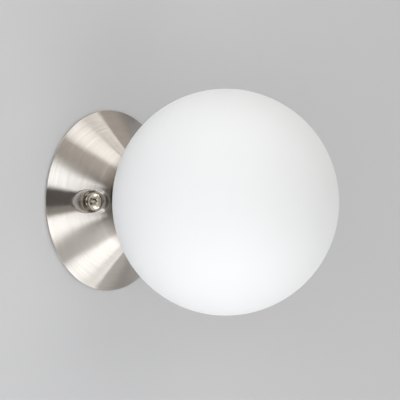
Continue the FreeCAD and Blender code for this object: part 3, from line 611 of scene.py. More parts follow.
def neck_shade_mask(tree):
    """Mask of the painted shade on the canopy: 1 in the tight turn by the neck, and 0 on the flank and in
    the cup's depth.
    """
    far_radius, near_radius = 35 * mm, 27.5 * mm
    low_height, high_height = 20 * mm, 24 * mm
    place = object_place(tree)
    off_axis = put(tree, "ShaderNodeVectorMath", {0: place, 1: (1.0, 0.0, 1.0)}, operation="MULTIPLY")
    radius = put(tree, "ShaderNodeVectorMath", {0: off_axis.outputs[0]}, operation="LENGTH").outputs["Value"]
    y = put(tree, "ShaderNodeSeparateXYZ", {0: place}).outputs[1]
    inward = span(tree, radius, far_radius, near_radius)
    return calc(tree, "MULTIPLY", inward, span(tree, y, -low_height, -high_height))


def brushed_nickel(colours):
    tree, shader = new_material("brushed_nickel")
    lines = use(tree, "lathe_lines", Fineness=1500.0, Drift=2.6)
    patches = use(tree, "mottle", Scale=22.0, Fine_Share=0.2)["Patches"]
    mask = weigh(tree, lines["Lines"], 0.6, patches, 0.4)
    rough = weigh(tree, lines["Broad"], 0.6, patches, 0.4)
    pair = shades(colours.brushed_nickel, dark=0.74, light=1.20)
    tinted = dress(tree, shader, pair, mask, rough, lines["Lines"], rough_pair=(0.13, 0.20), depth=1.5,
                   Metallic=1.0, Anisotropic=1.0, Anisotropic_Rotation=0.25)
    # Painted shade: the nickel's colour is darkened towards the neck to stand in for the shade and dark
    # reflection there
    neck_shaded = blend_colours(tree, neck_shade_mask(tree), tinted, [*colours.neck_painted_shade, 1.0])
    tree.links.new(neck_shaded, shader.inputs["Base Color"])
    tangent = put(tree, "ShaderNodeTangent", direction_type="RADIAL", axis="Y")
    tree.links.new(tangent.outputs[0], shader.inputs["Tangent"])


def polished_nickel(colours):
    tree, shader = new_material("polished_nickel")
    marks = use(tree, "scratches", Scale=420.0, Width=0.02)["Marks"]
    patches = use(tree, "mottle", Scale=90.0, Fine_Share=0.3)["Patches"]
    rough = weigh(tree, marks, 0.5, patches, 0.5)
    pair = shades(colours.polished_nickel, dark=0.96, light=1.03)
    dress(tree, shader, pair, patches, rough, patches, rough_pair=(0.05, 0.16), depth=20, Metallic=1.0)


def opal_glass(colours):
    tree, shader = new_material("opal_glass")
    mottle = use(tree, "mottle", Scale=16.0, Fine_Share=0.12)
    pits = use(tree, "pits", Scale=1600.0, Share=0.25)["Pits"]
    relief = calc(tree, "MULTIPLY_ADD", pits, -0.5, mottle["Grain"])
    pair = shades(colours.opal_glass, dark=0.985, light=1.01)
    dress(tree, shader, pair, mottle["Patches"], mottle["Grain"], relief, rough_pair=(0.56, 0.66), depth=12,
          Subsurface_Weight=1.0, Subsurface_Radius=(1.0, 1.0, 1.0), Subsurface_Scale=0.003,
          Specular_IOR_Level=0.3)


def clear_glass(colours):
    tree, shader = new_material("clear_glass")
    patches = use(tree, "mottle", Scale=120.0, Fine_Share=0.2)["Patches"]
    marks = use(tree, "scratches", Scale=260.0, Width=0.015)["Marks"]
    pair = shades(colours.clear_glass, dark=0.99, light=1.02)
    dress(tree, shader, pair, patches, marks, patches, rough_pair=(0.0, 0.05), depth=30,
          Transmission_Weight=1.0, IOR=1.46)


def zinc_steel(colours):
    tree, shader = new_material("zinc_steel")
    mottle = use(tree, "mottle", Scale=170.0, Fine_Share=0.4)
    marks = use(tree, "scratches", Scale=240.0, Width=0.03)["Marks"]
    pits = use(tree, "pits", Scale=1400.0, Share=0.15)["Pits"]
    rough = weigh(tree, marks, 0.5, mottle["Patches"], 0.6)
    relief = calc(tree, "MULTIPLY_ADD", pits, -0.8, mottle["Grain"])
    pair = shades(colours.zinc_steel, dark=0.82, light=1.08)
    dress(tree, shader, pair, mottle["Patches"], rough, relief, rough_pair=(0.28, 0.46), depth=10,
          Metallic=1.0)


def green_steel(colours):
    tree, shader = new_material("green_steel")
    mottle = use(tree, "mottle", Scale=300.0, Fine_Share=0.4)
    marks = use(tree, "scratches", Scale=500.0, Width=0.03)["Marks"]
    worn = calc(tree, "MULTIPLY", marks, 0.5)
    pair = shades(colours.green_steel, dark=0.9, light=1.0)[:1] + [[*colours.worn_green, 1.0]]
    dress(tree, shader, pair, worn, mottle["Patches"], mottle["Grain"], rough_pair=(0.25, 0.4), depth=8,
          Metallic=0.85)


def silicone(colours):
    pair = shades(colours.silicone, dark=0.93, light=1.02)
    mottled("silicone", pair, scale=150.0, fine=0.5, rough_pair=(0.42, 0.6), depth=20,
            Subsurface_Weight=0.3, Subsurface_Radius=(1.0, 0.95, 0.9), Subsurface_Scale=0.002)


def bushing_plastic(colours):
    pair = shades(colours.bushing_plastic, dark=0.8, light=1.5)
    mottled("bushing_plastic", pair, scale=400.0, fine=0.6, rough_pair=(0.38, 0.55), depth=10)


def porcelain(colours):
    tree, shader = new_material("porcelain")
    patches = use(tree, "mottle", Scale=110.0, Fine_Share=0.15)["Patches"]
    pits = use(tree, "pits", Scale=500.0, Share=0.05)["Pits"]
    rough = weigh(tree, pits, 0.5, patches, 0.5)
    relief = calc(tree, "MULTIPLY_ADD", pits, -1.5, patches)
    pair = shades(colours.porcelain, dark=0.95, light=1.02)
    dress(tree, shader, pair, patches, rough, relief, rough_pair=(0.06, 0.2), depth=30, IOR=1.55)


def brass(colours):
    tree, shader = new_material("brass")
    mottle = use(tree, "mottle", Scale=260.0, Fine_Share=0.4)
    marks = use(tree, "scratches", Scale=700.0, Width=0.03)["Marks"]
    rough = weigh(tree, marks, 0.5, mottle["Patches"], 0.5)
    pair = shades(colours.brass, dark=0.78, light=1.08)
    dress(tree, shader, pair, mottle["Patches"], rough, mottle["Grain"], rough_pair=(0.22, 0.4), depth=8,
          Metallic=1.0)


def shell_nickel(colours):
    tree, shader = new_material("shell_nickel")
    lines = use(tree, "lathe_lines", Fineness=5200.0, Drift=3.0)
    patches = use(tree, "mottle", Scale=200.0, Fine_Share=0.3)["Patches"]
    pair = shades(colours.shell_nickel, dark=0.86, light=1.06)
    dress(tree, shader, pair, patches, lines["Broad"], lines["Lines"], rough_pair=(0.2, 0.36), depth=4,
          Metallic=1.0)


def base_glass(colours):
    pair = shades(colours.base_glass, dark=0.8, light=1.6)
    mottled("base_glass", pair, scale=260.0, fine=0.2, rough_pair=(0.08, 0.2), depth=30,
            relief="Patches", IOR=1.5)


def solder(colours):
    pair = shades(colours.solder, dark=0.75, light=1.1)
    mottled("solder", pair, scale=500.0, fine=0.4, rough_pair=(0.3, 0.5), depth=50,
            relief="Patches", Metallic=1.0)


def support_wire(colours):
    pair = shades(colours.support_wire, dark=0.8, light=1.1)
    mottled("support_wire", pair, scale=700.0, fine=0.4, rough_pair=(0.25, 0.42), depth=6, Metallic=1.0)


def phosphor(colours):
    pair = shades(colours.phosphor, dark=0.86, light=1.05)
    mottled("phosphor", pair, scale=600.0, fine=0.5, rough_pair=(0.45, 0.65), depth=30,
            Subsurface_Weight=0.2, Subsurface_Radius=(1.0, 0.7, 0.3), Subsurface_Scale=0.001)


# Canopy

seat_bend = 1.2 * mm
fillet_rise = 3.0 * mm
hollow_growth = 0.4
pad_shrinkage = 0.7
rings_end = 6.2 * mm
fine_grid_share = 0.65


def flank_arc(sizes):
    """The flank's radius of curvature, its length, and the arc's centre as (radius, height)."""
    steep, shallow = math.sin(sizes.shoulder_slope), math.sin(sizes.rim_slope)
    start = sizes.neck_radius + sizes.shoulder_radius * (1 - steep)
    bend = (sizes.radius - start) / (steep - shallow)
    centre = (sizes.radius + bend * shallow, sizes.lip + bend * math.cos(sizes.rim_slope))
    return bend, bend * (sizes.shoulder_slope - sizes.rim_slope), centre


def skin(sizes, along, inset):
    """The canopy's profile at a distance along its outer face from the rim, set in by inset.

    The flank is an arc that curves the trumpet's way, and past its end a tighter arc carries on
    to the neck. Both are (centre - reach * (sin slope, cos slope)), with reach = radius + inset.
    """
    bend, whole, centre = flank_arc(sizes)
    flank_slope = sizes.rim_slope + np.minimum(along, whole) / bend
    shoulder_slope = sizes.shoulder_slope + np.maximum(along - whole, 0) / sizes.shoulder_radius
    reach = bend + inset
    radius = centre[0] - reach * np.sin(flank_slope)
    height = centre[1] - reach * np.cos(flank_slope)
    turn = sizes.shoulder_radius + inset
    radius += turn * (math.sin(sizes.shoulder_slope) - np.sin(shoulder_slope))
    height += turn * (math.cos(sizes.shoulder_slope) - np.cos(shoulder_slope))
    return np.stack([radius, height], axis=-1)


def crossing(sizes):
    """Where a screw's axis meets the flank: the distance along it, and (radius, height)."""
    bend, _, centre = flank_arc(sizes)
    slope = math.asin((centre[0] - sizes.screw_radius) / bend)
    along = bend * (slope - sizes.rim_slope)
    return along, skin(sizes, np.array(along), 0.0)


def screw_frame(sizes):
    """The right-hand seat's middle and its three directions: round the canopy, up the flank, and out."""
    point = crossing(sizes)[1]
    out = np.array([math.sin(sizes.screw_tilt), -math.cos(sizes.screw_tilt), 0.0])
    up_flank = np.array([-math.cos(sizes.screw_tilt), -math.sin(sizes.screw_tilt), 0.0])
    round_axis = np.array([0.0, 0.0, 1.0])
    middle = np.array([point[0], -point[1], 0.0]) - out * sizes.seat_sink
    return middle, round_axis, up_flank, out


def ramp(x, bend):
    """0 below 0, then a parabola over the length bend, then a straight climb of 1 in 1."""
    x = np.maximum(x, 0)
    return np.where(x < bend, x * x / (2 * bend), x - bend / 2)


def soft_lower(a, b, size):
    """The lower of two heights, with a fillet where they are less than size apart."""
    size = np.maximum(size, micron)
    return np.minimum(a, b) - np.maximum(size - np.abs(a - b), 0) ** 2 / (4 * size)


def press_seat(sizes, place, points, across, along, inset):
    """Forms one side's screw seat in a skin.

    Each point keeps its place in the seat's plane and moves along the screw's direction. Its height
    over the plane becomes the lower of the flank's and a hollow's, which is 0 on the flat and climbs
    evenly outside it, and then the higher of that and a pad's, which falls evenly. Both meetings are
    filleted. Near the screw hole the grid's square rings become round ones, so that the hole is a
    true circle.
    """
    middle, round_axis, up_flank, out = place
    offset = points - (middle - out * inset)
    height = offset @ out
    flat = offset - height[..., None] * out
    distance = np.linalg.norm(flat, axis=-1)
    hollow_start = sizes.hollow_radius + hollow_growth * inset
    pad_start = sizes.pad_radius - pad_shrinkage * inset
    hollow = sizes.hollow_slope * ramp(distance - hollow_start, seat_bend)
    pad = -sizes.pad_slope * ramp(distance - pad_start, seat_bend)
    outside = smooth((distance - hollow_start) / fillet_rise)
    depth = smooth(0.5 * height / sizes.hollow_soft) * outside
    stand = smooth(-0.5 * height / sizes.pad_soft) * outside
    lifted = soft_lower(height, hollow, sizes.hollow_soft * depth)
    lifted = -soft_lower(-lifted, -pad, sizes.pad_soft * stand)
    square = np.maximum(np.abs(across), np.abs(along))
    corner = np.maximum(np.hypot(across, along), nearly_nothing)
    ringed = (across[..., None] * round_axis + along[..., None] * up_flank) * (square / corner)[..., None]
    pull = 1 - smooth((square - sizes.hole_radius) / (rings_end - sizes.hole_radius))
    flat = flat + pull[..., None] * (ringed - flat)
    near = (distance < sizes.seat_reach) & (points @ out > 0)
    pressed = middle - out * inset + flat + lifted[..., None] * out
    return np.where(near[..., None], pressed, points)


def canopy_columns(sizes):
    """Distances round the canopy from a seat's middle, fine over the seat and wider beyond it."""
    wide_steps, widening = 20, 1.25
    fine = sizes.hole_radius / sizes.steps
    near = np.arange(0, int(fine_grid_share * sizes.seat_reach / fine)) * fine
    quarter = full_turn / 4 * sizes.screw_radius
    far = near[-1] + (quarter - near[-1]) * np.linspace(0, 1, wide_steps + 1)[1:] ** widening
    half = np.concatenate([near, far])
    return np.concatenate([-half[:0:-1], half[:-1]])


def canopy_rows(sizes):
    """Distances along the flank, even over the seat so that two rows meet the hole's edges."""
    first, foot_rows, shoulder_rows = 0.9 * mm, 13, 15
    along, whole = crossing(sizes)[0], flank_arc(sizes)[1]
    fine = sizes.hole_radius / sizes.steps
    below, above = int(fine_grid_share * sizes.seat_reach / fine), int((whole - along) / fine)
    seat = along + np.arange(-below, above) * fine
    foot = np.linspace(first, seat[0], foot_rows + 1)[:-1]
    turn = sizes.shoulder_radius * (full_turn / 4 - sizes.shoulder_slope)
    shoulder = whole + turn * np.linspace(0, 1, shoulder_rows)
    return np.concatenate([foot, seat, shoulder])


def canopy_profile(sizes, rows):
    """The closed outline of rim, outer skin, neck, inner skin and foot, and where each skin starts."""
    inside, least_height = sizes.radius - sizes.wall, 0.25 * mm
    start = skin(sizes, np.array(rows[0]), 0.0)
    rim = bends([
        (inside, 0, 0), (sizes.radius, 0, 0.15 * mm), (sizes.radius, sizes.lip, 0.3 * mm), (*start, 0),
    ])
    outer = np.concatenate([rim, skin(sizes, rows, 0.0)])
    top = outer[-1] + np.array([0, sizes.neck_land])
    neck = np.array([top, [top[0] - sizes.wall, top[1]]])
    inner = skin(sizes, rows, sizes.wall)
    inner[:, 0] = np.minimum(inner[:, 0], inside)
    inner[:, 1] = np.maximum(inner[:, 1], least_height)
    profile = np.concatenate([outer, neck, inner[::-1], [[inside, 0]]])
    return profile, len(rim), len(outer) + len(neck)


def square_loop(steps):
    """The rows and columns from a middle to the points round a square of 2 * steps cells, in order."""
    go = np.arange(-steps, steps)
    low, high = np.full(2 * steps, -steps), np.full(2 * steps, steps)
    return np.concatenate([low, go, high, -go]), np.concatenate([go, high, -go, low])


def drilled_faces(steps, shape, outer_row, inner_row, middle_columns):
    """The closed grid's cells without those over the screw holes, and the walls of the holes.

    A hole is a square of cells about a seat's middle that is left out of both skins. Its wall joins
    the two squares' edges, which the seat's round rings have made circles. The inner skin's rows run
    the other way.
    """
    rows, columns = shape
    cells = quads(rows, columns, True, True)
    keep = np.ones((rows, columns), bool)
    down, over = square_loop(steps)
    walls = []
    for middle in middle_columns:
        outer = (outer_row + down) * columns + middle + over
        inner = (inner_row - down) * columns + middle + over
        walls.append(np.stack([outer, np.roll(outer, -1), np.roll(inner, -1), inner], axis=-1))
        for row in (outer_row, inner_row):
            keep[row - steps:row + steps, middle - steps:middle + steps] = False
    return np.concatenate([cells[keep]] + walls)


def canopy_sheets(sizes, place):
    """The canopy's two skins on one grid of bearings, with two drilled seats."""
    half_round = canopy_columns(sizes)
    half = len(half_round)
    rows = canopy_rows(sizes)
    profile, first_outer, first_inner = canopy_profile(sizes, rows)
    bearings = half_round / sizes.screw_radius
    points = turned(profile, np.concatenate([bearings, bearings + math.pi]))
    from_seat = rows - crossing(sizes)[0]
    for side, columns in ((1, slice(0, half)), (-1, slice(half, None))):
        turn = np.array([side, 1.0, side])
        for first, order, inset in ((first_outer, 1, 0.0), (first_inner, -1, sizes.wall)):
            band = slice(first, first + len(rows))
            across, along = np.meshgrid(half_round, from_seat[::order])
            local = points[band, columns] * turn
            points[band, columns] = press_seat(sizes, place, local, across, along, inset) * turn
    middle_row = int(np.argmin(np.abs(from_seat)))
    outer_row, inner_row = first_outer + middle_row, first_inner + len(rows) - 1 - middle_row
    middles = (half // 2, half + half // 2)
    faces = drilled_faces(sizes.steps, points.shape[:2], outer_row, inner_row, middles)
    return [(points.reshape(-1, 3), faces)]


class SCONCE_OT_canopy(bpy.types.Operator):
    """Builds the spun canopy with its two pressed screw seats"""
    bl_idname = "sconce.canopy"
    bl_label = "Canopy"

    def execute(self, context):
        sizes = context.scene.canopy_sizes
        place = screw_frame(sizes)
        mesh = mesh_from("canopy_skin", canopy_sheets(sizes, place), sharp=50)
        add_piece("canopy_spun", mesh, "fixture", "brushed_nickel", ["canopy"])
        return {"FINISHED"}


# Canopy screws

recess_grid = (0.0, 0.38, 0.76, 0.86, 0.94, 1.02, 1.16, 1.55)
square_end, circle_start = 1.0 * mm, 4.0 * mm
floor_climb = 1.65
recess_wall_foot, recess_wall_width, recess_wall_power = 0.74, 0.46, 0.7


def screw_grid(sizes):
    """The square grid that becomes the domed head, finer at the recess's walls."""
    inner = sizes.recess_half_width * np.array(recess_grid)
    outer = np.linspace(inner[-1], sizes.head_radius, 13)[1:]
    half = np.concatenate([inner, outer])
    return np.concatenate([-half[:0:-1], half])


def head_height(sizes, distance):
    """The dome: a sphere that passes through the crown and the head's edge."""
    rise = sizes.head_height - sizes.head_edge
    ball = (sizes.head_radius ** 2 + rise ** 2) / (2 * rise)
    return sizes.head_height - ball + np.sqrt(ball ** 2 - distance ** 2)


def head_points(sizes):
    """The dome with its cross recess over a square grid (u, v).

    Towards the edge the grid's squares become circles of the same size. The recess is the lower of
    two arms: along an arm the floor is level and then climbs to the dome, and across it the wall
    rises steeply with a rounded upper edge.
    """
    line = screw_grid(sizes)
    u, v = np.meshgrid(line, line)
    square = np.maximum(np.abs(u), np.abs(v))
    corner = np.maximum(np.hypot(u, v), nearly_nothing)
    roundness = np.clip((square - square_end) / (circle_start - square_end), 0, 1)
    factor = 1 + roundness * (square / corner - 1)
    x, y = u * factor, v * factor
    dome = head_height(sizes, np.minimum(np.hypot(x, y), sizes.head_radius))
    height = dome
    for length_way, width_way in ((np.abs(u), np.abs(v)), (np.abs(v), np.abs(u))):
        floor = sizes.recess_floor + floor_climb * np.maximum(length_way - sizes.recess_foot, 0)
        climb = (width_way / sizes.recess_half_width - recess_wall_foot) / recess_wall_width
        wall = smooth(climb) ** recess_wall_power
        height = np.minimum(height, np.minimum(floor, dome) * (1 - wall) + dome * wall)
    return np.stack([x, y, height], axis=-1)


def edge_loop(points):
    """The outer edge of a square grid of points, in order round it."""
    return np.concatenate([points[0, :-1], points[:-1, -1], points[-1, :0:-1], points[:0:-1, 0]])


def side_points(sizes, edge):
    """The head's side, its underside and the threaded shank: rings at the edge's own bearings.

    The thread's height falls evenly from its crests to its roots. Over the last millimetre the crests
    and the roots run out into the tip.
    """
    depth, tip_drop, run_out, rows_a_pitch = 0.45 * mm, 0.2 * mm, 1.0 * mm, 6
    top, tip = -0.4 * mm, -sizes.shank_length
    bearing = np.arctan2(edge[:, 1], edge[:, 0])
    head = bends([
        (sizes.head_radius, sizes.head_edge, 0), (sizes.head_radius, 0, 0.25 * mm),
        (sizes.shank_radius, 0, 0),
    ], 3)
    level = np.linspace(top, tip, int((top - tip) / sizes.pitch * rows_a_pitch) + 1)
    shank = straight(sizes.shank_radius, level)
    profile = np.concatenate([head, [[sizes.shank_radius, 0.0]], shank, [[0.0, tip]]])
    radius = profile[:, 0:1] + np.zeros(len(bearing))
    height = profile[:, 1:2] + np.zeros(len(bearing))
    off = np.abs(helix_phase(height, bearing[None, :], tip, sizes.pitch)) * 2
    on_thread = (height < top - 0.1 * mm) & (radius > 0)
    taper = np.clip((height - tip) / run_out, 0, 1)
    threaded = sizes.shank_radius - depth - tip_drop * (1 - taper) + depth * (1 - off) * taper
    radius = np.where(on_thread, threaded, radius)
    return np.stack([radius * np.cos(bearing), radius * np.sin(bearing), height], axis=-1)


def on_screw(place, points, lift):
    """Carries points from the screw's own frame to the right-hand seat."""
    middle, round_axis, up_flank, out = place
    x, y, z = points[..., 0:1], points[..., 1:2], points[..., 2:3] + lift
    return middle + x * round_axis + y * up_flank + z * out


class SCONCE_OT_screws(bpy.types.Operator):
    """Builds the two domed cross-recess screws that hold the canopy"""
    bl_idname = "sconce.screws"
    bl_label = "Canopy screws"

    def execute(self, context):
        sizes = context.scene.screw_sizes
        place = screw_frame(context.scene.canopy_sizes)
        head = head_points(sizes)
        side = side_points(sizes, edge_loop(head))
        sheets = []
        for points, closed in ((head, False), (side, True)):
            sheets.append(grid(on_screw(place, points, sizes.lift), close_columns=closed))
        left_sheets = [(opposite(points), faces) for points, faces in sheets]
        for side_name, made in (("right", sheets), ("left", left_sheets)):
            node = "canopy_screw_" + side_name
            mesh = mesh_from(node + "_form", made, sharp=32)
            add_piece(node + "_domed", mesh, side_name + "_screw", "polished_nickel", [node])
        return {"FINISHED"}


# Fitter cup, gasket and globe


def cup_thread(sizes):
    """The cup's rolled thread: a round groove that follows a right-hand helix into the cup."""
    first_groove, front_run, back_run, fade = 3.0 * mm, 0.4 * mm, 0.6 * mm, 1.2 * mm
    turns, foot_share = 2, 1.35
    start = sizes.front - first_groove
    high = sizes.front - sizes.thread_end + front_run
    low = start - turns * sizes.pitch + back_run
    return thread(start, sizes.pitch, low, high, fade, -sizes.thread, foot_share * sizes.thread)


def cup_profile(sizes):
    """The drawn cup's outline: a lip, a straight wall with a round corner, and a back with a hole."""
    inner, floor, shoulder = sizes.radius - sizes.wall, sizes.back + sizes.wall, sizes.back + sizes.corner
    under_lip = sizes.front - sizes.lip
    outer_rows, inner_rows, turn_steps, corner_points = 56, 60, 10, 6
    middle = (sizes.radius - sizes.corner, shoulder)
    aim = sizes.bore + 7 * mm
    lip = rounded([
        (inner, sizes.front, 0.35 * mm), (sizes.lip_radius, sizes.front, 0.3 * mm),
        (sizes.lip_radius, under_lip, 0.12 * mm), (sizes.radius, under_lip, 0.0),
    ])[:-corner_points]
    outside = straight(sizes.radius, np.linspace(under_lip - 0.4 * mm, shoulder, outer_rows))
    outer_turn = arc(middle, sizes.corner, 0, -math.pi / 2, turn_steps)
    hole = bends([
        (aim, sizes.back, 0), (sizes.bore, sizes.back, 0.1 * mm),
        (sizes.bore, floor, 0.1 * mm), (aim, floor, 0),
    ])
    inner_turn = arc(middle, sizes.corner - sizes.wall, -math.pi / 2, 0, turn_steps)
    inside = straight(inner, np.linspace(shoulder, sizes.front - 0.5 * mm, inner_rows))
    return np.concatenate([lip, outside, outer_turn, hole, inner_turn, inside])


class SCONCE_OT_fitter_cup(bpy.types.Operator):
    """Builds the drawn cup with its rolled thread, in the canopy's neck"""
    bl_idname = "sconce.fitter_cup"
    bl_label = "Fitter cup"

    def execute(self, context):
        sizes = context.scene.cup_sizes
        cup = ring(cup_profile(sizes), sides["fitter_cup"], cup_thread(sizes))
        mesh = mesh_from("fitter_cup_form", [cup], sharp=60)
        add_piece("fitter_cup_threaded", mesh, "fixture", "brushed_nickel", ["fitter_cup"])
        return {"FINISHED"}


def glass_thread(sizes):
    """The glass neck's thread: a low round ridge on a right-hand helix, two turns long."""
    start, foot = sizes.back + 0.7 * mm, 1.5 * mm
    low, high, fade = sizes.back + 1.0 * mm, sizes.seat - 4.2 * mm, 1.6 * mm
    return thread(start, sizes.pitch, low, high, fade, sizes.thread, foot)


def globe_outside(sizes):
    """From the front over the sphere to the gasket, round the shoulder and down the neck."""
    stop_short, sphere_steps, corner_steps, neck_rows = 0.02, 150, 6, 70
    centre = sizes.front - sizes.radius
    edge = math.acos(sizes.seat_radius / sizes.radius)
    sphere = arc((0, centre), sizes.radius, math.pi / 2, -edge + stop_short, sphere_steps)
    shoulder = bends([
        (*sphere[-1], 0), (sizes.seat_radius, sizes.seat, 0.9 * mm),
        (sizes.neck_radius, sizes.seat, 0.7 * mm), (sizes.neck_radius, sizes.back, 0),
    ], corner_steps)
    rows = np.linspace(sizes.seat - 0.9 * mm, sizes.back + 1.3 * mm, neck_rows)
    neck = straight(sizes.neck_radius, rows)
    return sphere, shoulder, neck


def globe_inside(sizes):
    """The neck's round end, its bore, a soft flare and the inner sphere to the front."""
    flare_radius, flare_aim = 24.2 * mm, 2.2 * mm
    bore_end, bore_aim = sizes.seat - 0.6 * mm, 1.6 * mm
    corner_steps, sphere_steps, flare_steps = 6, 90, 10
    centre = sizes.front - sizes.radius
    reach = sizes.radius - sizes.wall
    end = bends([
        (sizes.neck_radius, sizes.seat, 0), (sizes.neck_radius, sizes.back, 1.2 * mm),
        (sizes.mouth_radius, sizes.back, 1.2 * mm), (sizes.mouth_radius, sizes.seat, 0),
    ], corner_steps)
    edge = math.acos(flare_radius / reach)
    sphere = arc((0, centre), reach, -edge, math.pi / 2, sphere_steps)
    aim = np.array([-math.sin(edge), -math.cos(edge)]) * flare_aim
    start = np.array([sizes.mouth_radius, bore_end])
    flare = bezier([start, start + [0, bore_aim], sphere[0] + aim, sphere[0]], flare_steps)
    return end, flare[:-1], sphere


class SCONCE_OT_globe(bpy.types.Operator):
    """Builds the blown globe with its threaded neck, and the gasket under it"""
    bl_idname = "sconce.globe"
    bl_label = "Globe and gasket"

    def execute(self, context):
        sizes = context.scene.globe_sizes
        sphere, shoulder, neck = globe_outside(sizes)
        end, flare, inner = globe_inside(sizes)
        angles = round_angles(sides["globe"])
        plain = turned(np.concatenate([sphere, shoulder]), angles)
        threaded = turned(neck, angles, glass_thread(sizes))
        inside = turned(np.concatenate([end, flare, inner]), angles)
        mesh = mesh_from("globe_form", [grid(np.concatenate([plain, threaded, inside]))], sharp=70)
        add_piece("globe_opal", mesh, "glass_globe", "opal_glass", ["globe"])
        back, front = heights("neck_gasket")
        outer, soft = half_width("neck_gasket"), 0.35 * mm
        outline = rounded([
            (sizes.gasket_inner, back, soft), (outer, back, soft),
            (outer, front, soft), (sizes.gasket_inner, front, soft),
        ])
        mesh = mesh_from("neck_gasket_form", [ring(outline, sides["neck_gasket"])])
        add_piece("neck_gasket_ring", mesh, "gasket", "silicone", ["neck_gasket"])
        return {"FINISHED"}


# Nipple, bushing and lampholder shell


def nipple_mesh(sizes):
    """A tube with a sharp thread outside, rounded ends and a plain bore."""
    depth, rows_a_pitch, fade, bevel, bevel_rise = 0.5 * mm, 7, 0.5 * mm, 0.45 * mm, 0.3 * mm
    low, high = heights("nipple")
    end = sizes.nipple_radius - bevel
    pitch = sizes.nipple_pitch
    rows = np.linspace(high - bevel_rise, low + bevel_rise, int((high - low) / pitch * rows_a_pitch))
    groove = thread(low + pitch / 2, pitch, low - mm, high + mm, fade, -depth, pitch / 2, sharp=True)
    bore = rounded([
        (end, low, 0.1 * mm), (sizes.nipple_bore, low, 0.15 * mm),
        (sizes.nipple_bore, high, 0.15 * mm), (end, high, 0.1 * mm),
    ], 3)
    angles = round_angles(sides["nipple"])
    outside = turned(straight(sizes.nipple_radius, rows), angles, groove)
    sheet = grid(np.concatenate([outside, turned(bore, angles)]), close_rows=True)
    return mesh_from("nipple_form", [sheet], sharp=60)


def bushing_mesh(sizes):
    """A sleeve in the nipple's bore with a round collar over its end."""
    back, front = heights("nipple_bushing")
    collar = half_width("nipple_bushing")
    sleeve = sizes.nipple_bore - sizes.bushing_gap
    inside = sleeve - sizes.bushing_wall
    step = heights("nipple")[0]
    outline = rounded([
        (inside, back, 0.45 * mm), (collar, back, 0.4 * mm), (collar, step, 0.2 * mm),
        (sleeve, step, 0.0), (sleeve, front, 0.15 * mm), (inside, front, 0.15 * mm),
    ], 4)
    return mesh_from("nipple_bushing_form", [ring(outline, sides["nipple_bushing"])])


def lamp_thread(start, low, high):
    """The rolled thread of the lampholder's shell and of the bulb's base."""
    sizes = bpy.context.scene.holder_sizes
    pitch = sizes.thread_pitch
    return thread(start, pitch, low, high, pitch / 2, sizes.thread_depth, pitch / 2)


def rolled_shell(name, inner_radius, wall, rows, rolled, foot=()):
    """A thin shell with the same wave on both faces, and the outline of a flange at its foot."""
    outside, inside = straight(inner_radius + wall, rows), straight(inner_radius, rows[::-1])
    profile = np.array([*outside, *inside, *foot])
    return mesh_from(name, [ring(profile, sides["shells"], rolled)], sharp=60)


def socket_shell_mesh(sizes):
    """The lampholder's rolled shell with its flange."""
    turns, wave_rows, wall = 6, 110, sizes.shell_wall
    back, front = heights("socket_screw_shell")
    rows = np.linspace(front, back + wall, wave_rows)
    rolled = lamp_thread(front, front - turns * sizes.thread_pitch, front + mm)
    foot = ((sizes.shell_hole, back + wall), (sizes.shell_hole, back), (sizes.shell_radius + wall, back))
    return rolled_shell("socket_screw_shell_form", sizes.shell_radius, wall, rows, rolled, foot)


class SCONCE_OT_holder(bpy.types.Operator):
    """Builds the threaded nipple, its bushing and the lampholder's rolled shell"""
    bl_idname = "sconce.holder"
    bl_label = "Nipple and lampholder shell"

    def execute(self, context):
        sizes = context.scene.holder_sizes
        for name, mesh, slot, node in (
            ("nipple_threaded", nipple_mesh(sizes), "zinc_steel", "nipple"),
            ("nipple_bushing_moulded", bushing_mesh(sizes), "bushing_plastic", "nipple_bushing"),
            ("socket_screw_shell_rolled", socket_shell_mesh(sizes), "shell_nickel", "socket_screw_shell"),
        ):
            add_piece(name, mesh, "fixture", slot, [node])
        return {"FINISHED"}


# Bulb


def bulb_curve(sizes, end, inset, steps):
    """Half the bulb's outline from its neck to its front, set in by inset: two smooth sweeps.

    The pulls say how far the curves' inner poles reach, as shares of the sweeps.
    """
    neck_pull, cap_pull, tip_pull = 0.42, 0.55, 0.5
    neck, belly = sizes.neck_radius - inset, sizes.belly_radius - inset
    base, waist = sizes.base_front, sizes.base_front + sizes.waist
    reach = neck_pull * sizes.waist
    tip = end - inset
    rise = bezier([(neck, base), (neck, base + reach), (belly, waist - reach), (belly, waist)], steps)
    over = waist + cap_pull * (tip - waist)
    cap = bezier([(belly, waist), (belly, over), (tip_pull * belly, tip), (0, tip)], steps)
    return np.concatenate([rise, cap[1:]])


def bulb_envelope(sizes):
    """The blown glass: its outline outside, its open end, and its outline inside."""
    outer_steps, inner_steps = 48, 40
    back, end = heights("bulb_glass")
    outside = bulb_curve(sizes, end, 0.0, outer_steps)[::-1]
    inside = bulb_curve(sizes, end, sizes.glass, inner_steps)
    rim = np.array([[sizes.neck_radius, back], [sizes.neck_radius - sizes.glass, back]])
    outline = np.concatenate([outside, rim, inside])
    return mesh_from("bulb_glass_form", [lathe(outline, sides["bulb_glass"])])


def bulb_tip_mesh():
    """The solder dome: a quarter of an ellipse turned about the axis."""
    back, front = heights("bulb_tip")
    t = np.linspace(0, math.pi / 2, 9)
    dome = np.stack([half_width("bulb_tip") * np.sin(t), back + (front - back) * (1 - np.cos(t))], axis=-1)
    outline = np.concatenate([dome, [[0, front]]])
    return mesh_from("bulb_tip_form", [lathe(outline, sides["bulb_tip"])])


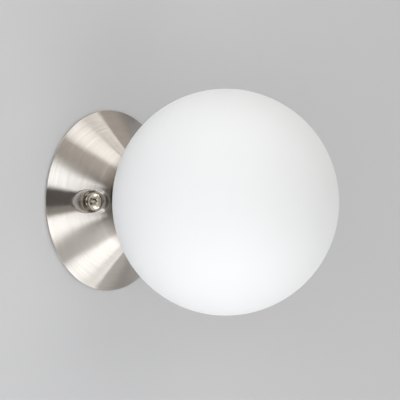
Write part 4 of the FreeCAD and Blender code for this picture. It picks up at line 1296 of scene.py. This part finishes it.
def bulb_insulator_mesh():
    """The dark glass cone between the tip and the shell."""
    aim, tip_radius, cone_height = 0.5 * mm, 2.8 * mm, 2.5 * mm
    back, front = heights("bulb_base_insulator")
    wide = half_width("bulb_base_insulator")
    cone = bends([
        (aim, back, 0), (tip_radius, back, 0.3 * mm), (wide, back + cone_height, 0.5 * mm),
        (wide, front, 0.1 * mm), (aim, front, 0),
    ], 4)
    outline = np.concatenate([[[0, back]], cone, [[0, front]]])
    return mesh_from("bulb_base_insulator_form", [lathe(outline, sides["bulb_base_insulator"])])


def bulb_shell_mesh(sizes, pitch):
    """The rolled shell of the bulb's base."""
    turns, wave_rows, end_gap = 6, 120, 0.2 * mm
    back, front = heights("bulb_base_shell")
    rolled = lamp_thread(back, back + end_gap, back + turns * pitch)
    inner = sizes.base_radius - sizes.base_wall
    rows = np.linspace(front, back, wave_rows)
    return rolled_shell("bulb_base_shell_form", inner, sizes.base_wall, rows, rolled)


def bulb_stem_mesh(sizes):
    """The flared foot, the drawn stem and the pinch that grips the post, flattened near its end."""
    flare_edge, flare_height, draw_height, rod_start = 0.4 * mm, 1.5 * mm, 8 * mm, 8.5 * mm
    pinch_reach, pinch_rise, pinch_depth = 9 * mm, 5 * mm, 0.35
    draw_steps, rod_rows = 12, 24
    back, top = heights("bulb_stem")
    foot, stem = sizes.stem_flare, sizes.stem_radius
    flare = np.array([
        (0, back), (foot - 0.3 * mm, back), (foot, back + flare_edge), (foot, back + flare_height),
    ])
    draw = bezier([
        (foot, back + flare_height), (foot - 1.2 * mm, back + 3.5 * mm),
        (stem, back + 5 * mm), (stem, back + draw_height),
    ], draw_steps)
    rod = straight(stem, np.linspace(back + rod_start, top - 1.2 * mm, rod_rows))
    cap = np.array([(stem - 0.25 * mm, top - 0.5 * mm), (stem - 0.7 * mm, top), (0, top)])
    points = turned(np.concatenate([flare, draw[1:], rod, cap]), round_angles(sides["bulb_stem"]))
    points[..., 2] *= 1 - pinch_depth * smooth((-points[..., 1] - (top - pinch_reach)) / pinch_rise)
    return mesh_from("bulb_stem_form", [grid(points)])


def hoop(radius, height, wire):
    """A wire ring about the Y axis."""
    circle = turned(np.array([[radius, height]]), round_angles(sides["hoops"]))[0]
    return grid(tube(circle, wire, 10, closed=True), close_rows=True)


def bulb_supports_mesh(sizes, low, high):
    """Two rings, the post that joins them and a thinner cross wire in each."""
    cross_wire = 0.9 * sizes.wire
    stem_top = heights("bulb_stem")[1]
    sheets = [hoop(sizes.low_ring, low, sizes.wire), hoop(sizes.high_ring, high, sizes.wire)]
    sheets.append(grid(capsule((0, -stem_top, 0), (0, -high - sizes.wire, 0), sizes.post)))
    for level, reach in ((low, sizes.low_ring), (high, sizes.high_ring)):
        sheets.append(grid(capsule((-reach, -level, 0), (reach, -level, 0), cross_wire, 10)))
    return mesh_from("bulb_supports_form", sheets)


def bulb_rods_mesh(sizes, low, high):
    """The light rods, leaning from the low ring to the high ring."""
    sheets = []
    for k in range(sizes.rods):
        bearing = full_turn * (k + 0.5) / sizes.rods
        side = np.array([math.cos(bearing), 0, math.sin(bearing)])
        start = side * sizes.low_ring - np.array([0, low + sizes.wire + sizes.rod, 0])
        end = side * sizes.high_ring - np.array([0, high - sizes.wire - sizes.rod, 0])
        sheets.append(grid(capsule(start, end, sizes.rod, 16)))
    return mesh_from("bulb_filaments_form", sheets)


class SCONCE_OT_bulb(bpy.types.Operator):
    """Builds the candelabra bulb: base, glass, stem, wires and light rods"""
    bl_idname = "sconce.bulb"
    bl_label = "Bulb"

    def execute(self, context):
        sizes = context.scene.bulb_sizes
        shell = bulb_shell_mesh(sizes, context.scene.holder_sizes.thread_pitch)
        back, front = heights("bulb_supports")
        first, last = back + 0.5 * mm, front - sizes.wire
        for name, mesh, slot, node in (
            ("bulb_tip_solder", bulb_tip_mesh(), "solder", "bulb_tip"),
            ("bulb_base_insulator_cone", bulb_insulator_mesh(), "base_glass", "bulb_base_insulator"),
            ("bulb_base_shell_rolled", shell, "shell_nickel", "bulb_base_shell"),
            ("bulb_glass_blown", bulb_envelope(sizes), "clear_glass", "bulb_glass"),
            ("bulb_stem_drawn", bulb_stem_mesh(sizes), "clear_glass", "bulb_stem"),
            ("bulb_supports_wire", bulb_supports_mesh(sizes, first, last), "support_wire", "bulb_supports"),
            ("bulb_filaments_rods", bulb_rods_mesh(sizes, first, last), "phosphor", "bulb_filaments"),
        ):
            add_piece(name, mesh, "bulb", slot, [node])
        return {"FINISHED"}


# Stamped and moulded pieces that keep their solid's shape

kept_solids = {
    "mounting_bracket": "zinc_steel",
    "ground_screw": "green_steel",
    "lock_washer": "zinc_steel",
    "nipple_nut": "zinc_steel",
    "socket_strap": "zinc_steel",
    "strap_screws": "zinc_steel",
    "socket_body": "porcelain",
    "socket_centre_contact": "brass",
    "contact_rivets": "brass",
    "terminal_plates": "brass",
    "terminal_screws": "brass",
}


class SCONCE_OT_kept_solids(bpy.types.Operator):
    """Gives the stamped and moulded pieces smooth round faces and their finishes"""
    bl_idname = "sconce.kept_solids"
    bl_label = "Stamped and moulded pieces"

    def execute(self, context):
        for node, slot in kept_solids.items():
            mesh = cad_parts[node].data.copy()
            mesh.name = node + "_form"
            mesh.materials.clear()
            finish_mesh(mesh, 28)
            add_piece(node + "_finished", mesh, "fixture", slot, [node])
        return {"FINISHED"}


# Finishes


class SCONCE_OT_finishes(bpy.types.Operator):
    """Makes the shader groups and one material for each finish"""
    bl_idname = "sconce.finishes"
    bl_label = "Finishes"

    def execute(self, context):
        lathe_lines_group()
        mottle_group()
        scratches_group()
        pits_group()
        colours = context.scene.sconce_colours
        for make in (
            brushed_nickel, polished_nickel, opal_glass, clear_glass, zinc_steel, green_steel, silicone,
            bushing_plastic, porcelain, brass, shell_nickel, base_glass, solder, support_wire, phosphor,
            backdrop, studio_floor,
        ):
            make(colours)
        return {"FINISHED"}


# Stage


def stage_object(name, points, faces, material):
    """Links a flat stage mesh, which isn't part of the sconce."""
    mesh = bpy.data.meshes.new(name)
    mesh.from_pydata(points.reshape(-1, 3).tolist(), [], faces.reshape(-1, 4).tolist())
    mesh.materials.append(bpy.data.materials[material + "_finish"])
    made = bpy.data.objects.new(name, mesh)
    bpy.context.scene.collection.objects.link(made)


def backdrop(colours):
    """A painted wall that is clear from behind, so that views from there show the sconce's back."""
    pair = shades(colours.backdrop, dark=0.985, light=1.015)
    tree, shader = mottled("backdrop", pair, scale=3.0, fine=0.3, rough_pair=(0.75, 0.85), depth=100,
                           Specular_IOR_Level=0.2)
    behind = put(tree, "ShaderNodeNewGeometry").outputs["Backfacing"]
    clear = put(tree, "ShaderNodeBsdfTransparent").outputs[0]
    both = put(tree, "ShaderNodeMixShader", {0: behind, 1: shader.outputs[0], 2: clear})
    output = next(node for node in tree.nodes if node.type == "OUTPUT_MATERIAL")
    tree.links.new(both.outputs[0], output.inputs["Surface"])


def studio_floor(colours):
    pair = shades(colours.floor, dark=0.985, light=1.015)
    mottled("studio_floor", pair, scale=2.0, fine=0.3, rough_pair=(0.7, 0.85), depth=100)


def direction(azimuth, elevation):
    """The unit vector from the sconce towards a bearing right of the wall's normal, and a height."""
    level = math.cos(elevation)
    return Vector((math.sin(azimuth) * level, -math.cos(azimuth) * level, math.sin(elevation)))


def panel(name, centre, behind, wide, tall, radiance, tint, mirrored):
    """A soft rectangular light at a place in metres, whose back points the way behind."""
    lamp = bpy.data.lights.new(name, "AREA")
    lamp.shape = "RECTANGLE"
    lamp.size, lamp.size_y = wide, tall
    lamp.energy = radiance * math.pi * wide * tall
    lamp.color = tint
    made = bpy.data.objects.new(name, lamp)
    bpy.context.scene.collection.objects.link(made)
    made.location = centre
    made.rotation_mode = "QUATERNION"
    made.rotation_quaternion = Vector(behind).to_track_quat("Z", "Y")
    made.visible_camera = False
    made.visible_glossy = mirrored


def studio_world(settings, colours):
    """A plain warm grey room: dim at eye level, lighter overhead and below."""
    sky_start, sky_full = 0.40, 0.62
    world = bpy.data.worlds.new("studio")
    world.use_nodes = True
    tree = world.node_tree
    tree.nodes.clear()
    ray = put(tree, "ShaderNodeTexCoord").outputs["Generated"]
    lift = calc(tree, "ABSOLUTE", put(tree, "ShaderNodeSeparateXYZ", {0: ray}).outputs[2])
    strength = span(tree, lift, sky_start, sky_full, settings.horizon, settings.sky)
    light = put(tree, "ShaderNodeBackground", {"Color": [*colours.room, 1.0], "Strength": strength})
    output = put(tree, "ShaderNodeOutputWorld")
    tree.links.new(light.outputs[0], output.inputs["Surface"])
    bpy.context.scene.world = world


def place_camera(settings):
    camera = bpy.data.cameras.new("camera")
    camera.lens = settings.lens
    camera.sensor_width = 36.0
    camera.clip_start, camera.clip_end = 0.05, 60.0
    made = bpy.data.objects.new("camera", camera)
    bpy.context.scene.collection.objects.link(made)
    target = Vector((settings.target_x, -settings.target_height, settings.target_z))
    back = direction(settings.azimuth, settings.elevation)
    made.location = target + back * settings.distance
    made.rotation_mode = "QUATERNION"
    made.rotation_quaternion = (-back).to_track_quat("-Z", "Y")
    bpy.context.scene.camera = made


def place_wall_and_floor():
    """A round wall with a hole behind the canopy, a hair back from its rim, and a floor below the view."""
    hole, rings, around, gap = 58 * mm, (0.3, 1.2, 9.0), 96, 0.6 * mm
    wall = turned(np.array([[radius, -gap] for radius in (hole, *rings)]), round_angles(around))
    stage_object("backdrop_wall", wall, quads(len(wall), around, False, True)[..., ::-1], "backdrop")
    reach, drop = 14.0, -1.35
    corners = ((-reach, -reach), (reach, -reach), (reach, reach), (-reach, reach))
    floor = np.array([[x, y, drop] for x, y in corners])
    stage_object("studio_floor", floor, np.array([[0, 1, 2, 3]]), "studio_floor")


def upper_or_lower_panels(settings, side, up, level, lit_share, far):
    """The panels over or under the sconce.

    Each row is a name, a middle, a back's direction, a width, a height, a brightness and whether
    metal mirrors it.
    """
    strip = settings.strip_radiance * lit_share
    bank, line = settings.bank_radiance / lit_share, settings.bank_radiance
    front, over, roof = (0, -1, 0), (0, 0, up), 0.9 * up
    return (
        ("strip_" + side, (-0.5, -1.3, level), front, 0.95, 0.48, strip, True),
        ("strip_right_" + side, (0.5, -1.3, level), front, 0.95, 0.48, 0.55 * strip, True),
        ("bank_" + side, (0.16, -0.60, roof), over, 0.38, 0.75, bank, True),
        ("edge_" + side, (far - 0.14, -0.5, roof), over, 0.20, 0.6, settings.edge_radiance, True),
        ("line_" + side, (far, -0.5, roof), over, 0.07, 0.6, line, True),
        ("spark_" + side, (-0.34, -0.2, roof), over, 0.52, 0.45, settings.spark_radiance, True),
        ("wash_" + side, (0.0, -0.3, 1.3 * up), over, 1.0, 0.6, settings.wash_radiance, False),
    )


def place_panels(settings, colours):
    """All soft lights, in the same rows."""
    rows = [
        *upper_or_lower_panels(settings, "high", 1, 0.49, 1.1, 0.62),
        *upper_or_lower_panels(settings, "low", -1, -0.545, 1.0, 0.55),
        ("fill", (-1.65, -0.95, 0.0), (-1, -0.6, 0), 1.4, 1.6, settings.fill_radiance, False),
        ("side", (1.6, -0.35, 0.0), (1, -0.2, 0), 1.2, 1.4, settings.side_radiance, False),
        ("behind_wall", (0.5, 1.3, 0.6), (0.35, 0.85, 0.4), 1.0, 1.0, settings.back_radiance, True),
    ]
    for name, middle, back, wide, tall, radiance, mirrored in rows:
        panel(name, middle, back, wide, tall, radiance, colours.lamps, mirrored)


class SCONCE_OT_stage(bpy.types.Operator):
    """Sets up the wall, the floor, the soft lights and the camera"""
    bl_idname = "sconce.stage"
    bl_label = "Stage"

    def execute(self, context):
        scene = context.scene
        place_wall_and_floor()
        place_panels(scene.studio_settings, scene.sconce_colours)
        studio_world(scene.studio_settings, scene.sconce_colours)
        place_camera(scene.studio_settings)
        scene.view_settings.view_transform = "Standard"
        return {"FINISHED"}


operators = (
    SCONCE_OT_finishes, SCONCE_OT_canopy, SCONCE_OT_screws, SCONCE_OT_fitter_cup, SCONCE_OT_globe,
    SCONCE_OT_holder, SCONCE_OT_bulb, SCONCE_OT_kept_solids, SCONCE_OT_stage,
)
settings_groups = {
    "canopy_sizes": CanopySizes,
    "screw_sizes": ScrewSizes,
    "cup_sizes": CupSizes,
    "globe_sizes": GlobeSizes,
    "holder_sizes": HolderSizes,
    "bulb_sizes": BulbSizes,
    "sconce_colours": SconceColours,
    "studio_settings": StudioSettings,
}


class SCONCE_PT_panel(bpy.types.Panel):
    """Lists the sconce's pieces and their settings"""
    bl_idname = "SCONCE_PT_panel"
    bl_label = "Globe wall sconce"
    bl_space_type = "VIEW_3D"
    bl_region_type = "UI"
    bl_category = "Sconce"

    def draw(self, context):
        layout = self.layout
        for made in operators:
            layout.operator(made.bl_idname)
        for name, group in settings_groups.items():
            box = layout.box()
            box.label(text=name.replace("_", " ").capitalize())
            for key in group.__annotations__:
                box.prop(getattr(context.scene, name), key)


def register():
    for group in settings_groups.values():
        bpy.utils.register_class(group)
    for made in operators + (SCONCE_PT_panel,):
        bpy.utils.register_class(made)
    for name, group in settings_groups.items():
        setattr(bpy.types.Scene, name, PointerProperty(type=group))


def unregister():
    for name in settings_groups:
        delattr(bpy.types.Scene, name)
    for made in (SCONCE_PT_panel,) + operators[::-1]:
        bpy.utils.unregister_class(made)
    for group in settings_groups.values():
        bpy.utils.unregister_class(group)


def build_sconce():
    register()
    bpy.ops.sconce.finishes()
    bpy.ops.sconce.canopy()
    bpy.ops.sconce.screws()
    bpy.ops.sconce.fitter_cup()
    bpy.ops.sconce.globe()
    bpy.ops.sconce.holder()
    bpy.ops.sconce.bulb()
    bpy.ops.sconce.kept_solids()
    bpy.ops.sconce.stage()


if __name__ == "__main__":
    build_sconce()
